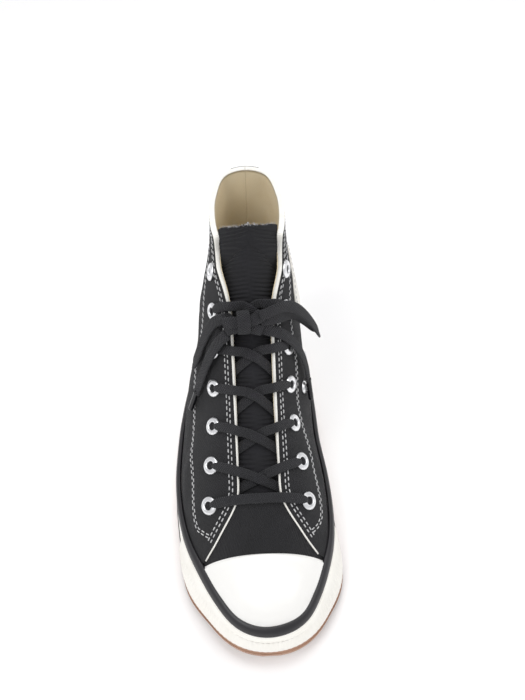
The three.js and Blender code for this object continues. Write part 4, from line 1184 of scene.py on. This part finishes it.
def eyelet(name, node, radius, bore):
    side, section, level = seat(node)
    base = last_point(side, section, level)
    normal = last_normal(side, section, level)
    edge = radius - 0.15
    profile = np.array([
        (bore, -3.0), (bore, 0.9), (bore + 0.12, 1.3), (bore + 0.45, 1.62), (bore + 0.95, 1.7),
        (edge - 0.9, 1.45), (edge - 0.35, 1.05), (edge, 0.55), (edge + 0.02, 0.2), (edge - 0.3, -0.2),
        (bore + 0.6, -0.2), (bore + 0.5, -3.0)])
    first = unit(np.cross(normal, [0.0, 0.0, 1.0]))
    second = np.cross(normal, first)
    spokes_round = 40
    turns = np.linspace(0, 2 * np.pi, spokes_round, endpoint=False)
    spokes = np.cos(turns)[:, None] * first + np.sin(turns)[:, None] * second
    points = (base + spokes[:, None] * profile[None, :, :1]
              + normal * (quarter_step + profile[None, :, 1:])).reshape(-1, 3)
    faces = grid_faces(spokes_round, len(profile), close_rows=True, close_columns=True)
    down_profile = np.tile(path_lengths(profile), spokes_round)
    uv = np.stack([np.repeat(turns * radius, len(profile)), down_profile], 1)
    make_piece(name, points, outward(points, faces), pressed_aluminium, uv, [node])
    return side, section, level, base, normal


eyelets = {}
for label in ("left", "right"):
    for row in range(1, 8):
        eyelets[label, row] = eyelet(f"rolled_eyelet_{label}_{row}", f"eyelet_{label}_{row}", 5.5, 2.4)
for row in (1, 2):
    eyelet(f"rolled_vent_{row}", f"vent_eyelet_{row}", 4.2, 2.0)
print("eyelets:", len(eyelets) + 2)

# %% [markdown]
# The lace lies straight across the first row and then crosses over row by row. Each strand comes out from
# under one quarter's edge, lies on the tongue, climbs the other quarter and dives into its eyelet. It is
# narrower there, because the eyelet gathers it.

# %% Lacing
strand_width = 5.8
over_quarter = quarter_step + lace_thickness / 2 + 0.55
over_tongue = -(wall + lace_thickness / 2 + 0.9)
dive_length = 3.6


def strand_along(first, last, start_half, out_at, count=64):
    """The path and face of a lace from a place beyond one edge to the middle of an eyelet."""
    end_x = abs(last[3][0])
    x = np.linspace(-start_half, end_x, count)
    start_x = abs(first[3][0])
    share = np.where(x < 0, x / start_x, x / end_x) / 2 + 0.5
    sections = first[1] + (last[1] - first[1]) * share
    path, outs = np.empty((count, 3)), np.empty((count, 3))
    for side, chosen in ((first[0], x < 0), (last[0], x >= 0)):
        level = level_at_half(side, sections[chosen], np.maximum(np.abs(x[chosen]), 0.02))
        path[chosen] = last_point(side, sections[chosen], level)
        outs[chosen] = last_normal(side, sections[chosen], level)
    outs = evened(outs, 4, directions=True)
    return evened(path + outs * out_at(x)[:, None], 2), outs


def into_eyelet(path, end, eyelet_place):
    """Bends a strand's end down into its eyelet, and says how wide the gathered strand is."""
    at = path_lengths(path)
    left = at if end == 0 else at[-1] - at
    sink = 1 - smoothstep(left, 0, dive_length)
    bottom = eyelet_place[3] + eyelet_place[4] * -0.8
    moved = path + (bottom - path) * (sink**1.5)[:, None]
    return moved, strand_width / 2 * (1 - 0.48 * (1 - smoothstep(left, 1.5, 7.0)))


bar_first, bar_last = eyelets["left", 1], eyelets["right", 1]
path, outs = strand_along(bar_first, bar_last, abs(bar_first[3][0]),
                          lambda x: np.full(len(x), over_quarter + 0.1))
path, first_half = into_eyelet(path, 0, bar_first)
path, last_half = into_eyelet(path, 1, bar_last)
bar = lace(path, outs, np.minimum(first_half, last_half))
make_joined("lace_row_1", [bar], braided_polyester, ["lace_bar"])

for row in range(1, 6):
    gap = throat_half(np.array([(eyelets["left", row][1] + eyelets["right", row + 1][1]) / 2]))[0]

    def under_crossing(x, gap=gap):
        climb = smoothstep(x, gap - 8.5, gap - 1.5)
        return over_tongue + (over_quarter - over_tongue) * climb

    def over_crossing(x, gap=gap):
        hump = np.maximum(0, 1 - np.abs(x) / (lace_width * 1.1))
        return under_crossing(x) + lace_thickness * 1.15 * smoothstep(hump, 0, 0.7)

    parts = []
    for first, last, height in ((("left", row), ("right", row + 1), under_crossing),
                                (("right", row), ("left", row + 1), over_crossing)):
        path, outs = strand_along(eyelets[first], eyelets[last], gap + 2.2, height)
        path, half_across = into_eyelet(path, 1, eyelets[last])
        parts.append(lace(path, outs, half_across))
    make_joined(f"lace_rows_{row}_{row + 1}", parts, braided_polyester, [f"lace_cross_{row}"])
print("lacing: a bar and", row, "crossings")

# %% [markdown]
# The knot is what holds the bow: two short wraps of the same lace round the bow's middle, with the loops
# and ends coming out from under them. The last two tails of the lacing run up to it from the sixth row.

# %% Knot
knot_centre = np.array([-5.4, 139.4, 127.0])
knot_across = np.array([1.0, 0.0, 0.0])
knot_front = unit(np.array([0.0, -0.86, 0.5]))
knot_up = unit(np.cross(knot_front, knot_across))


def knot_place(across, up, out):
    return knot_centre + knot_across * across + knot_up * up + knot_front * out


def knot_strand(places, half_across, half_out, squareness):
    """A short run of lace through places of the knot; half_across may change evenly along it."""
    path = smooth_curve([knot_place(*place) for place in places])
    share = np.linspace(0, 1, len(path))
    return tube(path, np.broadcast_to(knot_front, path.shape), np.interp(share, *half_across), half_out,
                sides=16, squareness=squareness)


wrap = np.array([knot_place(0.5 - 0.48 * math.cos(a), 6.4 * math.sin(a), 1.2 - 4.3 * math.cos(a))
                 for a in np.linspace(0, 2 * np.pi, 41)[:-1]])
wrap_out = unit(wrap - knot_place(0.5, 0, 1.2))
parts = [
    tube(wrap, wrap_out, 3.6, 0.75, sides=16, squareness=0.45, closed=True),
    knot_strand([(-10.5, -1.0, -0.2), (-6.5, 0.4, 1.6), (0, 0.6, 2.4), (6.0, 1.2, 1.6), (11.0, 3.4, -0.4)],
                ([0, .3, .7, 1], [4, 3.4, 3.4, 4]), 1.9, 0.7),
    knot_strand([(-9.5, -5.6, -0.8), (-4.5, -3.4, 1.0), (0.5, -3.0, 1.6), (6.0, -4.2, 0.6),
                 (11.0, -6.0, -0.6)], ([0, 1], [3.2, 3.2]), 1.3, 0.6),
]
make_joined("lace_knot_braid", parts, braided_polyester, ["lace_knot"])
print("knot:", len(parts), "runs of lace")

# %% [markdown]
# The two tails run from the sixth row's eyelets up into the back of the knot. They turn on the way, from
# facing out of the quarter to facing as the knot does.

# %% Tails
tails = []
for label, sign in (("left", -1), ("right", 1)):
    root_place, facing = eyelets[label, 6][3:]
    root = root_place + facing * 0.2
    lift = root_place + facing * 3.4 + np.array([-sign * 4.0, 0.5, 2.0])
    inner_point = knot_place(5.0 + sign * 8.0, -3.0, -2.4)
    middle = (lift + inner_point) / 2 + knot_front * 1.2
    path = smooth_curve([root, root * 0.4 + lift * 0.6 + facing * 0.5, lift, middle, inner_point,
                         knot_place(sign * 1.5, -1.0, -1.5)])
    share = np.linspace(0, 1, len(path))
    outs = unit(facing + (knot_front - facing) * share[:, None])
    tails.append(lace(path, outs, np.interp(share, [0, .15, .3, 1], [2, 2.4, 3.7, 3.4])))
make_joined("lace_tails", tails, braided_polyester)
print("tails:", len(tails))

# %% [markdown]
# Contrast stitching is what shows the shoe's cut. Each stitch is a short raised stroke of pale thread,
# 2.4 mm long with 1.2 mm between, sunk a little at both ends. A row is laid at an even distance from the
# edge it follows, measured over the curved surface, so it stays parallel to it. The strokes are geometry,
# because a painted line would look flat from the side.

# %% Stitches
stitch_length = 2.4
stitch_gap = 1.2
stitch_radius = 0.33


def stitch_row(side, sections, levels, out):
    """Strokes of thread along a line on the last."""
    path = last_point(side, sections, levels)
    at = path_lengths(path)
    starts = np.arange(0.6, at[-1] - stitch_length, stitch_length + stitch_gap)
    wanted = starts[:, None] + np.array([0, 0.15, 0.5, 0.85, 1.0]) * stitch_length
    section, level = np.interp(wanted, at, sections), np.interp(wanted, at, levels)
    sunk = np.broadcast_to([-0.3, 0.02, 0.12, 0.02, -0.3], wanted.shape)
    centres = creased(side, section, level, out + sunk)
    normals = last_normal(side, section, level)
    girth = stitch_radius * np.array([0.55, 0.95, 1.0, 0.95, 0.55])
    return [tube(centre, normal, girth * 1.25, girth, sides=6)
            for centre, normal in zip(centres, normals)]


def from_edge(side, first, last, inward, count=160):
    sections = np.linspace(first, last, count)
    levels = np.interp(sections, quarter_sections, quarter_top[side])
    return step_from_edge(side, sections, levels, inward)


def side_line(side, points):
    """A curve on the last through points given as seen from the side, in the last's y and z."""
    curve = smooth_curve(points, 12)
    section, level = nearest_place(side, np.array([side * 35.0, *curve[0]]))
    found = []
    for point in points:
        sections, levels = place_by_side_view(side, np.array([point], float), section, level)
        section, level = float(sections[0]), float(levels[0])
        found.append((section, level))
    guess = smooth_curve(found, 12)
    return place_by_side_view(side, curve, guess[:, 0], guess[:, 1])


facing_seam = {
    LATERAL: [(47.9, 42.0), (51.5, 40.4), (56.3, 39.3), (72, 44.5), (88.4, 50), (101, 52.5),
              (113.7, 56), (130, 67), (146, 82), (160.4, 98), (172, 115), (180, 131), (186, 147),
              (189, 156)],
    MEDIAL: [(47.9, 42.0), (54, 39.8), (61.5, 40), (75, 45), (89, 51), (101, 57),
             (112, 63.5), (122, 71.5), (133, 81), (142, 90.5), (150, 99.5), (160, 111.5), (168, 122),
             (176, 134), (182, 147), (186, 156)],
}
double_row_gap = 1.8
stitches = []
for side in (LATERAL, MEDIAL):
    seam = side_line(side, facing_seam[side])
    second_row = step_from_edge(side, *seam, -double_row_gap)
    rows = [seam, second_row] + [from_edge(side, 3.25, 10.9, inward) for inward in (3.0, 5.0)]
    rows += [from_edge(side, 11.35, 14.35, inward) for inward in (3.2, 5.2)]
    for row in rows:
        stitches += stitch_row(side, *row, quarter_step)
make_joined("edge_stitches", stitches, sewing_thread)
print("edge stitches:", len(stitches))

# %% [markdown]
# The same strokes hold the heel stay, in two rows down each side, and the patch, in its groove.

# %% Stay and patch stitches
stitches = []
stay_rows = np.linspace(0.14, 0.965, 120)
for side in (LATERAL, MEDIAL):
    for inward in (1.3, 3.1):
        section = heel_section(stay_rows, stay_half - inward)
        stitches += stitch_row(side, section, stay_rows, quarter_step + stay_lift + stay_thickness)
closed_angles = np.linspace(0, 2 * np.pi, 97)
ring_around = np.stack([np.cos(closed_angles), np.sin(closed_angles)], 1)
section, level = place_by_side_view(MEDIAL, patch_centre + ring_around * patch_radius * 0.925,
                                    start_section, start_level)
stitches += stitch_row(MEDIAL, section, level, quarter_step + patch_thickness * 0.9)
make_joined("stay_and_patch_stitches", stitches, sewing_thread)
print("stay and patch stitches:", len(stitches))

# %% [markdown]
# A plain pale floor and large soft lamps, as in a product picture on white. The sky light is bright and
# even, and one lamp high on the left gives the glossy cap its highlight.

# %% Floor and light
floor_mesh = bpy.data.meshes.new("floor")
floor_half = 3.0
floor_corners = [(x * floor_half, y * floor_half, 0) for x, y in ((-1, -1), (1, -1), (1, 1), (-1, 1))]
floor_mesh.from_pydata(floor_corners, [], [[0, 1, 2, 3]])
floor = bpy.data.objects.new("floor", floor_mesh)
bpy.context.scene.collection.objects.link(floor)
floor_mesh.materials.append(make_finish("painted_board", 0.9, "#fcfbfa", "#fefefe", 3))

world = bpy.data.worlds.new("studio")
bpy.context.scene.world = world
world.use_nodes = True
sky = world.node_tree.nodes["Background"]
sky.inputs["Color"].default_value = linear("#fdfdff")
sky.inputs["Strength"].default_value = 0.68


def add_lamp(name, at, size, power):
    data = bpy.data.lights.new(name, "AREA")
    data.shape, data.size, data.energy = "DISK", size, power
    lamp = bpy.data.objects.new(name, data)
    lamp.location = at
    direction = Vector((0, 0, 0.06)) - Vector(at)
    lamp.rotation_euler = direction.to_track_quat("-Z", "Y").to_euler()
    bpy.context.scene.collection.objects.link(lamp)
    print(name, "gives", power, "W")


add_lamp("key_lamp", (-0.7, -0.6, 1.3), 0.8, 6.5)
add_lamp("fill_lamp", (0.9, -0.2, 1.1), 0.9, 3.2)
add_lamp("top_lamp", (0.0, 0.1, 1.0), 0.35, 1.6)
add_lamp("back_lamp", (0.1, 1.1, 1.2), 0.8, 3.2)
bpy.context.scene.view_settings.view_transform = "Standard"
